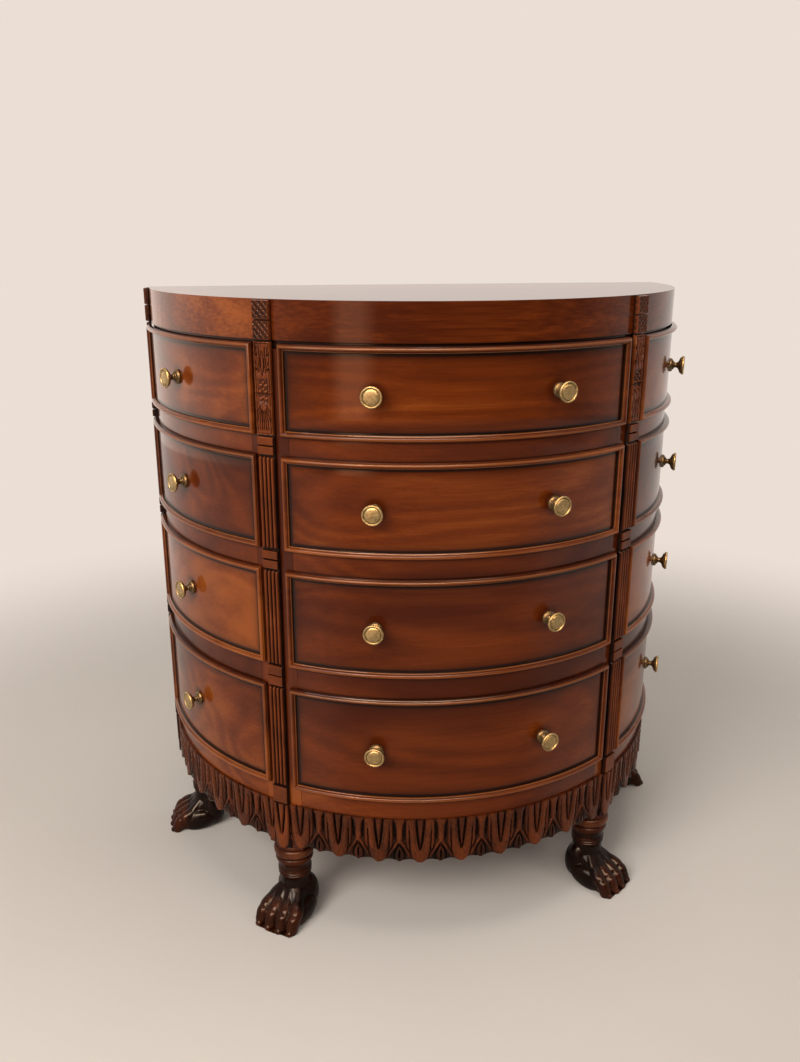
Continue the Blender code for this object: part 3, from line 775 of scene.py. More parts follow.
@dataclass(frozen=True)
class LacqueredWood(Finish):
    """Reddish brown wood under a glossy coat, with painted shade and dark old polish in its corners.

    Attributes:
        grain: Way that the grain runs.
        deep: Colour of the darkest streaks.
        body: Main colour.
        glow: Colour of the lightest streaks.
        shade_and_wax: Colour of the painted shade and dark old polish in the corners.
        gloss: Strength of the shine of the wood itself.
        rubbed: Colour of a bead's worn edges, which also carry a painted highlight.
        streak: Strength of the fine streaks.
        frame: Distance in from a drawer lip's edge, in millimetres, with the shares of painted shade with
            dark polish and of painted highlight on the worn edge there.
        knobs: Whether painted shade and a painted reflection of the knob are laid round each knob.
    """

    grain: Grain
    deep: Colour = (0.056, 0.0090, 0.0020)
    body: Colour = (0.138, 0.0250, 0.0034)
    glow: Colour = (0.265, 0.0640, 0.0095)
    shade_and_wax: Colour = (0.008, 0.0035, 0.0022)
    roughness: float = 0.30
    gloss: float = 0.04
    coat: float = 0.65
    coat_roughness: float = 0.05
    rubbed: Colour = (0.37, 0.128, 0.036)
    frame: tuple[tuple[float, float, float], ...] = ()
    streak: float = 0.15
    knobs: bool = False

    def mix(self) -> Material:
        """Mixes the wood from broad clouds, growth rings, streaks and pores.

        Returns:
            The material.
        """
        sheet = Sheet(self.name)
        place = sheet.place(self.grain)
        clouds = sheet.noise(place, (1.5, 8.0, 9.0), 3.0, 0.2)
        figure = sheet.noise(place, (0.5, 5.0, 6.5), 1.0, 0.3)
        rings = sheet.math("SINE", sheet.scaled(figure, 70.0))
        streaks = sheet.noise(place, (2.4, 140.0, 260.0), 3.0, 0.2)
        fibres = sheet.noise(place, (24.0, 700.0, 1200.0), 3.0)
        pores = sheet.span(sheet.noise(place, (50.0, 900.0, 1500.0), 2.0), 0.62, 0.74)
        tone = sheet.total(sheet.scaled(clouds, 0.74), sheet.scaled(streaks, self.streak),
                           sheet.scaled(rings, 0.036), sheet.scaled(fibres, 0.12),
                           sheet.scaled(sheet.attribute("tone"), 0.16))
        tone = sheet.span(tone, 0.26, 0.80)
        wood = sheet.ramp(tone, ((0.0, self.deep), (0.5, self.body), (1.0, self.glow)))
        wood = sheet.blend(sheet.scaled(pores, 0.30), wood, self.deep)
        # Painted shade: the wood darkens where its own piece hems it in, in corners and quirks, along with
        # old polish.
        shade_and_wax_share = sheet.rest(sheet.span(sheet.hollow(0.008), 0.30, 0.85))
        if self.knobs:
            # Painted shade and painted reflection: a dark halo round the foot of each knob.
            wood = sheet.blend(self.knob_shade(sheet), wood, self.deep)
        if self.frame:
            inside, upright = self.from_edge(sheet)
            # The frame adds painted shade in the quirk and painted shadow along edges that lips meet, along
            # with dark polish.
            shade_and_wax_share = sheet.math("MAXIMUM", shade_and_wax_share, self.along_frame(sheet, inside, 1))
        shade_and_wax_share = sheet.scaled(shade_and_wax_share, sheet.total(0.72, sheet.scaled(clouds, 0.46)))
        colour = sheet.blend(sheet.math("MINIMUM", shade_and_wax_share, 0.95), wood, self.shade_and_wax)
        if self.frame:
            # Painted highlight on the bead's edges, with some wear, weaker on upright edges than on level
            # ones.
            painted_highlight = sheet.rest(sheet.scaled(upright, 0.45))
            painted_highlight = sheet.scaled(painted_highlight, self.along_frame(sheet, inside, 2))
            colour = sheet.blend(painted_highlight, colour, self.rubbed)
        sheet.set(Base_Color=colour, Coat_IOR=1.33)
        sheet.set(Roughness=sheet.total(self.roughness - 0.05, sheet.scaled(fibres, 0.1)))
        sheet.set(Specular_IOR_Level=self.gloss)
        sheet.set(Coat_Weight=self.coat, Coat_Roughness=self.coat_roughness)
        sheet.raise_by(sheet.math("SUBTRACT", fibres, pores), 0.08, 0.0003)
        return sheet.stuff

    def from_edge(self, sheet: Sheet) -> tuple[NodeSocket, NodeSocket]:
        """Distance in from the edge of a drawer lip, as a share of the frame's reach.

        Args:
            sheet: The sheet to draw on.

        Returns:
            The share, and 1 where the nearest edge is an upright one.
        """
        inside = []
        for way in ("across", "up"):
            from_middle = sheet.math("ABSOLUTE", sheet.attribute(f"lip_{way}"))
            inside.append(sheet.math("SUBTRACT", sheet.attribute(f"half_{way}"), from_middle))
        share = sheet.math("DIVIDE", sheet.math("MINIMUM", *inside), self.frame[-1][0] * MM)
        return share, sheet.math("LESS_THAN", *inside)

    def knob_shade(self, sheet: Sheet) -> NodeSocket:
        """Share of painted shade and painted reflection of the knob round the foot of a knob.

        Args:
            sheet: The sheet to draw on.

        Returns:
            The share.
        """
        across = sheet.math("ABSOLUTE", sheet.attribute("lip_across"))
        across = sheet.math("SUBTRACT", across, sheet.attribute("knob_across"))
        away = sheet.length(sheet.point(across, sheet.attribute("lip_up")))
        return sheet.scaled(sheet.span(away, 0.023, 0.012), 0.80)

    def along_frame(self, sheet: Sheet, inside: NodeSocket, column: int) -> NodeSocket:
        """Share of painted shade with dark polish (column 1) or of painted highlight on worn edges (column 2)
        at a distance in from the edge.
        """
        reach = self.frame[-1][0]
        return sheet.ramp(inside, [(stop[0] / reach, (stop[column],) * 3) for stop in self.frame])


@dataclass(frozen=True)
class CarvedWood(Finish):
    """Carved wood, rubbed red on its crests and left dark in its hollows, where painted shade darkens it
    further.

    Attributes:
        ground: Colour of the hollows.
        flank: Colour of the slopes.
        crest: Colour of the rubbed crests.
        edge: Colour of the sharpest edges, rubbed pale.
        dents: Strength of the chisel's dents in the gloss.
    """

    ground: Colour = (0.0095, 0.0045, 0.0032)
    flank: Colour = (0.056, 0.0135, 0.0048)
    crest: Colour = (0.165, 0.0350, 0.0072)
    edge: Colour = (0.330, 0.130, 0.055)
    roughness: float = 0.36
    gloss: float = 0.08
    coat: float = 0.18
    coat_roughness: float = 0.12
    dents: float = 0.10

    def mix(self) -> Material:
        """Mixes the wood from the carving's own wear, which some pieces mark with painted shade, from painted
        shade in its hollows and from a fine upright grain.

        Returns:
            The material.
        """
        sheet = Sheet(self.name)
        place = sheet.place(Grain.UPRIGHT)
        fibres = sheet.noise(place, (30.0, 500.0, 500.0), 3.0)
        clouds = sheet.noise(place, (22.0, 30.0, 30.0), 3.0)
        spread = sheet.total(sheet.scaled(clouds, 0.60), sheet.scaled(fibres, 0.16))
        share = sheet.total(sheet.attribute("carve"), sheet.math("SUBTRACT", spread, 0.38))
        wood = sheet.ramp(share, ((0.06, self.ground), (0.38, self.flank),
                                  (0.74, self.crest), (1.0, self.edge)))
        # Painted shade: the hollows of the carving darken towards the ground colour.
        hollow_shade = sheet.rest(sheet.span(sheet.hollow(0.004), 0.15, 0.75))
        sheet.set(Base_Color=sheet.blend(hollow_shade, wood, self.ground))
        sheet.set(Roughness=sheet.total(self.roughness - 0.06, sheet.scaled(clouds, 0.12)))
        sheet.set(Specular_IOR_Level=self.gloss, Coat_IOR=1.35)
        sheet.set(Coat_Weight=self.coat, Coat_Roughness=self.coat_roughness)
        cuts = sheet.noise(place, (90.0, 150.0, 150.0), 1.0)
        sheet.raise_by(sheet.total(cuts, sheet.scaled(fibres, 0.1)), self.dents, 0.003)
        return sheet.stuff


@dataclass(frozen=True)
class PlainWood(Finish):
    """Pale unfinished wood of the drawer boxes and hidden boards."""

    grain: Grain
    pale: Colour = (0.44, 0.255, 0.125)
    dark: Colour = (0.25, 0.125, 0.052)

    def mix(self) -> Material:
        """Mixes the wood from rings, streaks and pores.

        Returns:
            The material.
        """
        sheet = Sheet(self.name)
        place = sheet.place(self.grain)
        figure = sheet.noise(place, (0.8, 12.0, 12.0), 2.0, 0.3)
        rings = sheet.math("SINE", sheet.scaled(figure, 80.0))
        streaks = sheet.noise(place, (5.0, 190.0, 190.0), 4.0)
        pores = sheet.span(sheet.noise(place, (40.0, 800.0, 800.0), 2.0), 0.58, 0.72)
        tone = sheet.total(streaks, sheet.scaled(rings, 0.10))
        wood = sheet.ramp(sheet.span(tone, 0.25, 0.80), ((0.0, self.dark), (1.0, self.pale)))
        wood = sheet.blend(sheet.scaled(pores, 0.4), wood, self.dark)
        sheet.set(Base_Color=wood, Roughness=sheet.total(0.55, sheet.scaled(streaks, 0.15)))
        sheet.raise_by(streaks, 0.15, 0.0005)
        return sheet.stuff


@dataclass(frozen=True)
class AgedBrass(Finish):
    """Yellow metal, dull in its grooves and rubbed bright on its rims, with painted shade on the parts that
    its pieces mark low.
    """

    bright: Colour = (0.41, 0.290, 0.128)
    dull: Colour = (0.27, 0.182, 0.072)
    tarnish_and_shade: Colour = (0.060, 0.032, 0.012)

    def mix(self) -> Material:
        """Mixes the metal from clouds of dull and bright metal and fine scratches, darkened by oxide in its
        hollows and by painted shade.

        Returns:
            The material.
        """
        sheet = Sheet(self.name)
        place = sheet.texture("Object")
        clouds = sheet.noise(place, (240.0, 240.0, 240.0), 4.0)
        scratches = sheet.noise(place, (2400.0, 900.0, 900.0), 2.0)
        metal = sheet.blend(sheet.span(clouds, 0.32, 0.68), self.dull, self.bright)
        open_share = sheet.span(sheet.hollow(0.0025), 0.30, 0.88)
        open_share = sheet.math("MINIMUM", open_share, sheet.attribute("carve"))
        sheet.set(Base_Color=sheet.blend(open_share, self.tarnish_and_shade, metal), Metallic=0.66)
        sheet.set(Roughness=sheet.total(0.33, sheet.scaled(clouds, 0.18)))
        sheet.raise_by(scratches, 0.06, 0.0003)
        return sheet.stuff


BOWED = LacqueredWood("bowed_mahogany", Grain.ROUND, streak=0.40)
# Drawer fronts: painted shade in the quirk and round the field, with dark polish, and painted highlights on
# the bead.
FRAMED = LacqueredWood("framed_mahogany", Grain.ROUND, frame=(
    (0.0, 0.55, 0.0), (0.4, 0.14, 0.0), (0.9, 0.18, 0.0), (1.2, 0.40, 0.0), (1.7, 0.0, 0.10),
    (2.4, 0.0, 0.32), (3.4, 0.0, 0.40), (4.6, 0.0, 0.28), (5.4, 0.0, 0.02), (6.6, 0.10, 0.0),
    (7.5, 0.60, 0.0), (7.9, 0.0, 0.55), (8.5, 0.0, 0.55), (8.75, 0.8, 0.0), (9.0, 1.0, 0.0),
    (12.2, 1.0, 0.0), (13.3, 0.64, 0.0), (15.0, 0.42, 0.0), (18.0, 0.22, 0.0), (23.0, 0.09, 0.0),
    (31.0, 0.0, 0.0)), knobs=True)
# Rails: painted shadow along the edges that the drawer lips meet.
RAILED = LacqueredWood("railed_mahogany", Grain.ROUND, frame=(
    (0.0, 0.95, 0.0), (8.2, 0.90, 0.0), (8.9, 0.55, 0.0), (10.2, 0.24, 0.0), (12.5, 0.08, 0.0),
    (18.0, 0.0, 0.0)))
# Frieze: painted shadow along its lower edge.
BANDED = LacqueredWood("banded_mahogany", Grain.ROUND, frame=(
    (0.0, 1.0, 0.0), (0.5, 0.85, 0.0), (1.4, 0.30, 0.0), (3.5, 0.10, 0.0), (9.0, 0.0, 0.0)), streak=0.40)
TABLETOP = LacqueredWood("tabletop_mahogany", Grain.ACROSS, coat_roughness=0.13, coat=0.8)
STILE = LacqueredWood("stile_mahogany", Grain.UPRIGHT)
CARVED = CarvedWood("carved_mahogany_wax")
PAW = CarvedWood("paw_mahogany_wax", ground=(0.0030, 0.0018, 0.0015), flank=(0.0095, 0.0032, 0.0018),
                 crest=(0.060, 0.0135, 0.0042), edge=(0.16, 0.050, 0.020), gloss=0.04, coat=0.24,
                 coat_roughness=0.11, dents=0.42)
BRASS = AgedBrass("rubbed_brass")
LINING = PlainWood("lining_wood", Grain.ACROSS)
BOX_LINING = PlainWood("box_lining_wood", Grain.LEVEL)
UPRIGHT_LINING = PlainWood("upright_lining_wood", Grain.UPRIGHT)


# Carcase

@dataclass
class HalfRoundTop:
    """Half-round top board, eased along its upper edge, with its rim veneered like the frieze."""

    ease: float = 0.0022
    points: int = 256
    board: float = 2.2

    def build(self) -> Object:
        """Cuts a disc in half, gives it its thickness and eases its upper round edge.

        Returns:
            The top in its place.
        """
        low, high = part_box("top_board")
        piece = half_disc("half_round_top", PLAN_RADIUS, self.points, low[2], high[2])
        edge_radius = PLAN_RADIUS - 0.1 * MM
        with editing(piece):
            pick(piece, Part.EDGES, lambda edge: all(
                abs(vert.co.z - high[2]) < 0.01 * MM and vert.co.xy.length > edge_radius
                for vert in edge.verts))
            bpy.ops.mesh.bevel(offset=self.ease, segments=4, affect="EDGES")
        smooth(piece)
        return settle(piece)

    def dress(self) -> None:
        """Builds the top, veneers its rim and sets it on the frame."""
        piece = dressed(self.build(), TABLETOP)
        piece.data.materials.append(BOWED.material())
        for face in piece.data.polygons:
            face.material_index = int(abs(face.normal.z) < 0.5)
        mark_board(piece, self.board, veneer_and_light_tone(piece))
        mounted(piece, "carcase", Slot.PANEL, "top_board")


@dataclass
class BowedFrieze:
    """Plain bowed band under the top, with a set-back step over the top drawers."""

    depth: float = 0.034
    step_back: float = 0.003
    step_drop: float = 0.0105
    ease: float = 0.0008
    steps: int = 128
    board: float = 2.2

    def dress(self) -> None:
        """Sweeps the band's section round the front and sets it on the frame."""
        low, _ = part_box("frieze")
        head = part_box("top_board")[0][2] - 0.02 * MM
        inner = PLAN_RADIUS - self.depth
        step = PLAN_RADIUS - self.step_back
        foot = low[2] + self.step_drop
        section = ((inner, low[2]), (step, low[2]), (step, foot), (PLAN_RADIUS - self.ease, foot),
                   (PLAN_RADIUS, foot + self.ease), (PLAN_RADIUS, head), (inner, head))
        piece = spun("bowed_frieze", section, 90.0, self.steps)
        # Marks the height over the band's foot, for the painted shadow along its lower edge.
        mark_frame(piece, 1.0, foot + 1.0, 1.0)
        smooth(piece)
        settle(piece)
        mark_board(piece, self.board, veneer_and_light_tone(piece))
        mounted(dressed(piece, BANDED), "carcase", Slot.PANEL, "frieze")


@dataclass(frozen=True)
class Bay:
    """One upright run of drawers.

    Attributes:
        name: Left, centre or right.
        angle: Angle of the plan that the bay faces.
        lip: Half angle of its drawer lips.
        opening: Half width of its opening, square to the way the drawers slide.
        knobs: Angles of the knobs from the bay's middle, with the ends of their nodes' names.
        apron: Half angle of its apron, which covers the posts as far as their strips.
        leaf: Arc from the bay's middle to the middle of a large apron leaf.
        pitch: Arc from one large apron leaf to the next.
    """

    name: str
    angle: float
    lip: float
    opening: float
    knobs: tuple[tuple[float, str], ...]
    apron: float
    leaf: float
    pitch: float

    def side(self) -> int:
        """-1 for the left bay, 0 for the centre and 1 for the right."""
        return (self.angle > 0) - (self.angle < 0)

    def lip_arc(self) -> float:
        """Length of a drawer lip along the round of the plan."""
        return 2 * math.radians(self.lip) * PLAN_RADIUS


BAYS = (
    Bay("centre", 0.0, 34.50, 0.2399, ((-17.0, "_l"), (17.0, "_r")), 35.65, 0.0, 0.0640),
    Bay("left", -SIDE_ANGLE, 23.00, 0.1626, ((0.0, ""),), 23.45, 0.0435, 0.0657),
    Bay("right", SIDE_ANGLE, 23.00, 0.1626, ((0.0, ""),), 23.45, -0.0435, 0.0657),
)


@dataclass
class RailedBoard:
    """Board under a row of drawers, with a bowed rail in each bay."""

    node: str
    board: float
    tone: float
    plate_radius: float = 0.405
    plate_points: int = 128
    plate_thickness: float = 0.014
    plate_lift: float = 0.0005
    rail_depth: float = 0.045
    panel_front: float = 0.0083
    partition_inner: float = 0.2399
    partition_outer: float = 0.2585
    halving: float = 0.1703
    ease: float = 0.0008
    spare: float = 6.0
    centre_steps: int = 60
    side_steps: int = 40

    def dress(self) -> None:
        """Joins the plate and its rails and sets the board on the frame."""
        low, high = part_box(self.node)
        pieces = [self.plate(high[2])]
        pieces += [self.rail(bay, low[2], high[2] - self.plate_lift) for bay in BAYS]
        piece = joined(f"railed_{self.node}", pieces)
        smooth(piece)
        mark_board(piece, self.board, self.tone)
        mounted(dressed(piece, RAILED), "carcase", Slot.PANEL, self.node)

    def plate(self, top: float) -> Object:
        """Half-round plate, halved from behind where the partitions pass it.

        Args:
            top: Height of its upper side.

        Returns:
            The plate in its place.
        """
        piece = half_disc("plate", self.plate_radius, self.plate_points, top - self.plate_thickness, top,
                          self.panel_front)
        if self.node != "base_board":
            for side in (-1, 1):
                self.halve(piece, side, top)
        mark_frame(piece, 1.0, top, 1.0)
        return settle(piece)

    def halve(self, plate: Object, side: int, top: float) -> None:
        """Cuts the slot for one partition.

        Args:
            plate: The plate to cut.
            side: -1 on the left, 1 on the right.
            top: Height of the plate's upper side.
        """
        ends = sorted((side * self.partition_inner, side * self.partition_outer))
        past = 0.1
        slot = block("slot", (ends[0], -self.halving, top - past), (ends[1], past, top + past), 0.1 * MM)
        applied(plate, "BOOLEAN", operation="DIFFERENCE", object=slot)
        discard(slot)

    def rail(self, bay: Bay, low: float, high: float) -> Object:
        """Bowed rail of one bay, cut to the width of its opening.

        Args:
            bay: The bay.
            low: Height of its foot.
            high: Height of its head.

        Returns:
            The rail in its place.
        """
        inner = PLAN_RADIUS - self.rail_depth
        edge = PLAN_RADIUS - self.ease
        section = ((inner, low), (edge, low), (PLAN_RADIUS, low + self.ease),
                   (PLAN_RADIUS, high - self.ease), (edge, high), (inner, high))
        steps = self.side_steps if bay.side() else self.centre_steps
        piece = spun("rail", section, bay.lip + self.spare, steps)
        for side in (-1, 1):
            cut(piece, (side * bay.opening, 0, 0), (side, 0, 0))
        # Marks the rail's edges that the drawer lips meet, only the top edge on the base rail, for the
        # painted shadow there.
        reach = (high - low) / (1 if self.node == "base_board" else 2)
        mark_frame(piece, 1.0, high - reach, reach)
        settle(piece, bay.angle)
        if bay.side():
            cut(piece, (bay.side() * self.partition_outer, 0, 0), (-bay.side(), 0, 0))
        return piece


# Drawers

@dataclass
class TurnedKnob:
    """Brass knob with a rimmed, slightly domed face on a thin neck and a domed rose."""

    steps: int = 64
    seat: float = 0.4418
    profile: Profile = (
        (0.0, 23.3), (4.0, 23.2), (8.0, 22.8), (10.5, 22.2), (11.0, 21.7), (11.5, 21.3), (11.9, 21.7),
        (12.2, 22.4), (12.9, 22.9), (13.7, 22.9), (14.5, 22.3), (15.0, 21.2), (15.0, 20.3), (14.5, 19.3),
        (13.7, 18.7), (13.2, 18.1), (12.9, 17.2), (11.6, 16.1), (9.2, 15.0), (6.6, 13.9), (5.0, 12.6),
        (4.2, 11.0), (4.0, 9.4), (4.4, 7.9), (5.6, 6.9), (6.9, 6.5), (7.2, 5.9), (7.0, 5.4), (8.2, 4.9),
        (9.6, 4.0), (10.5, 2.8), (10.9, 1.6), (10.9, 0.4), (10.6, 0.0), (0.0, 0.0))

    def pattern(self) -> Object:
        """The knob on the plan axis, pointing along -Y.

        Returns:
            The dressed knob.
        """
        piece = turned("knob_pattern", [(r * MM, z * MM) for r, z in self.profile], self.steps)
        piece.rotation_euler = (math.radians(90.0), 0.0, 0.0)
        fix_place(piece)
        smooth(piece, 40.0)
        out = -coordinates(piece)[:, 1] / MM
        # Painted shade: the neck and rose under the head are marked low, so they take the dark colour, and
        # the face is marked bright.
        mark(piece, "carve", np.interp(out, (0.0, 5.0, 12.0, 17.0, 20.0), (0.30, 0.20, 0.16, 0.24, 1.0)))
        return dressed(piece, BRASS)

    def place(self, pattern: Object, bay: Bay, row: int, angle: float, end: str) -> None:
        """Sets a copy of the knob on a drawer.

        Args:
            pattern: The knob to copy.
            bay: The drawer's bay.
            row: The drawer's row, from 1 at the top.
            angle: Angle from the middle of the bay.
            end: End of the CAD node's name.
        """
        drawer = f"{bay.name}_drawer_{row}"
        node = f"{drawer}_knob{end}"
        low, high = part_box(node)
        piece = copied(pattern, f"turned_knob_{bay.name}_{row}{end}")
        across, back = polar(self.seat, bay.angle + angle)
        settle(piece, bay.angle + angle, (across, back, (low[2] + high[2]) / 2))
        mounted(piece, drawer, Slot.BRASS, node)


@dataclass
class BowedFront:
    """Bowed drawer front: a field inside a half-round bead, on a plug in its opening.

    Attributes:
        bead: Distance in from the lip's edge and height over the plan radius, in millimetres.
        columns: Upright strips of the front for each metre of arc.
        tones: Tone of the centre board of each row, from the top.
        side_tones: Tone of the side boards of each row.
        fall: Gain of tone from the head of a board to its foot.
        board: Number of the board, which grows by board_row a row and by board_side to the right.
    """

    bead: Profile = (
        (0.0, 4.6), (0.35, 5.5), (1.0, 6.0), (1.25, 6.9), (1.9, 7.9), (2.9, 8.7), (4.1, 9.0), (5.3, 8.8),
        (6.4, 8.1), (7.2, 7.0), (7.7, 5.6), (7.9, 4.9), (8.6, 4.5), (8.9, 3.2), (9.2, 1.5), (10.2, 1.35),
        (12.2, 1.45), (13.2, 1.5))
    lip_back: float = 0.5
    plug_inset: float = 0.0126
    plug_depth: float = 0.0185
    columns: float = 64.0
    tones: tuple[float, ...] = (-0.58, 0.12, -0.36, -0.26)
    side_tones: tuple[float, ...] = (-0.10, -0.55, 0.70, 0.20)
    fall: float = 0.9
    board: float = 5.0
    board_row: float = 1.37
    board_side: float = 7.1

    def build(self, bay: Bay, row: int) -> Object:
        """Insets a flat slab step by step into the bead, adds the plug and bends it.

        Args:
            bay: The drawer's bay.
            row: The drawer's row, from 1 at the top.

        Returns:
            The front in its place on the chest.
        """
        low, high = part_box(f"{bay.name}_drawer_{row}_front")
        arc = bay.lip_arc()
        middle = (low[2] + high[2]) / 2
        clear_choice()
        bpy.ops.mesh.primitive_grid_add(x_subdivisions=round(arc * self.columns), y_subdivisions=1, size=1.0,
                                        location=(0, -self.bead[0][1] * MM, middle),
                                        rotation=(math.radians(90.0), 0, 0))
        piece = named(f"bowed_front_{bay.name}_{row}")
        piece.scale = (arc, high[2] - low[2], 1.0)
        fix_place(piece)
        with editing(piece, Part.FACES):
            self.shape(piece)
        # Marks the frame and the knobs' places, for the painted shade, painted highlights and painted knob
        # halo of the finish.
        mark_frame(piece, arc / 2, middle, (high[2] - low[2]) / 2)
        knob_across = PLAN_RADIUS * math.radians(abs(bay.knobs[0][0]))
        mark(piece, "knob_across", np.full(len(piece.data.vertices), knob_across))
        bent(piece, arc)
        smooth(piece, 28.0)
        return settle(piece, bay.angle)

    def shape(self, piece: Object) -> None:
        """Gives the open slab its thickness, bead, field and plug.

        Args:
            piece: The slab, open in edit mode.
        """
        choose_all()
        lip = (0, (self.bead[0][1] - self.lip_back) * MM, 0)
        draw_out(lip)
        clean_skin()
        pick(piece, Part.FACES, lambda face: face.normal.y < -0.9)
        for (near, low), (far, high) in zip(self.bead, self.bead[1:]):
            bpy.ops.mesh.inset(thickness=(far - near) * MM, depth=(high - low) * MM, use_even_offset=True)
        pick(piece, Part.FACES, lambda face: face.normal.y > 0.9)
        bpy.ops.mesh.inset(thickness=self.plug_inset, depth=0.0, use_even_offset=True)
        draw_out((0, self.plug_depth, 0))

    def dress(self, bay: Bay, row: int) -> None:
        """Builds a front and sets it on its drawer.

        Args:
            bay: The drawer's bay.
            row: Its row, from 1 at the top.
        """
        piece = self.build(bay, row)
        tones = self.side_tones if bay.side() else self.tones
        drawer = f"{bay.name}_drawer_{row}"
        low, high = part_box(f"{drawer}_front")
        rise = (coordinates(piece)[:, 2] - low[2]) / (high[2] - low[2])
        number = self.board + self.board_row * row + self.board_side * bay.side()
        mark_board(piece, number, tones[row - 1] + self.fall * (0.5 - rise))
        mounted(dressed(piece, FRAMED), drawer, Slot.PANEL, f"{drawer}_front")


@dataclass
class DrawerRun:
    """All drawers: their fronts, knobs and boxes."""

    front: BowedFront
    knob: TurnedKnob

    def dress(self) -> None:
        """Dresses each drawer of each bay."""
        pattern = self.knob.pattern()
        for bay in BAYS:
            for row in ROWS:
                self.front.dress(bay, row)
                for angle, end in bay.knobs:
                    self.knob.place(pattern, bay, row, angle, end)
                dress_node(f"{bay.name}_drawer_{row}_box", BOX_LINING)
        discard(pattern)


def dress_node(node: str, finish: Finish) -> None:
    """Gives a CAD node that stays in sight its finish."""
    dressed(frame["nodes"][node], finish)
    log.info("%s: CAD node, %s", node, finish.name)


# Carving

def swell(distance: Array, half: Array | float, height: float) -> Array:
    """Round-backed ridge of a half width and a height, 0 at its edges and beyond."""
    share = distance / np.maximum(half, 0.01)
    return height * np.sqrt(np.clip(1.0 - share * share, 0.0, 1.0))


def raised(distance: Array, half: Array | float, base: float, height: float) -> Array:
    """Round-backed ridge that rises by a height from its base, far below the ground beyond its edges."""
    return np.where(np.abs(distance) < half, base + swell(distance, half, height), FAR_BELOW)


def ease_in(value: Array, low: float, high: float) -> Array:
    """Smooth rise from 0 at one value to 1 at another."""
    share = np.clip((value - low) / (high - low), 0.0, 1.0)
    return share * share * (3.0 - 2.0 * share)


@dataclass
class Relief:
    """Carved slab: a grid of points, each raised by a height, closed behind.

    Attributes:
        width: Width of the slab.
        low: Height of its foot.
        high: Height of its head.
        cell: Size of a cell across and up the slab.
        back: Depth of its back.
    """

    width: float
    low: float
    high: float
    cell: tuple[float, float]
    back: float = 0.0

    def carve(self, name: str, field: Field, hem: Callable[[Array], Array] | None = None) -> Object:
        """Carves the slab.

        Args:
            name: Name of the piece.
            field: Height in millimetres, and wear, for millimetres across and up from the foot.
            hem: Rise of the foot, in metres, for millimetres across.

        Returns:
            The closed slab, with its wear marked for the finish.
        """
        clear_choice()
        tall = self.high - self.low
        bpy.ops.mesh.primitive_grid_add(x_subdivisions=max(2, round(self.width / self.cell[0])),
                                        y_subdivisions=max(2, round(tall / self.cell[1])), size=1.0,
                                        location=(0, 0, (self.low + self.high) / 2),
                                        rotation=(math.radians(90.0), 0, 0))
        piece = named(name)
        piece.scale = (self.width, tall, 1.0)
        fix_place(piece)
        places = coordinates(piece)
        across = places[:, 0] / MM
        if hem is not None:
            rise = hem(across)
            share = (places[:, 2] - self.low) / tall
            places[:, 2] = self.low + rise + share * (tall - rise)
        height, wear = field(across, (places[:, 2] - self.low) / MM)
        places[:, 1] = -height * MM
        piece.data.vertices.foreach_set("co", places.ravel())
        piece.data.update()
        mark(piece, "carve", wear)
        with editing(piece, Part.EDGES):
            bpy.ops.mesh.select_non_manifold()
            bpy.ops.mesh.extrude_edges_move(TRANSFORM_OT_translate={"value": (0, 2 * MM, 0)})
            bpy.ops.transform.resize(value=(1, 0, 1), center_override=(0, self.back, 0))
            bpy.ops.mesh.edge_face_add()
            choose_all()
            bpy.ops.mesh.normals_make_consistent(inside=False)
        return piece


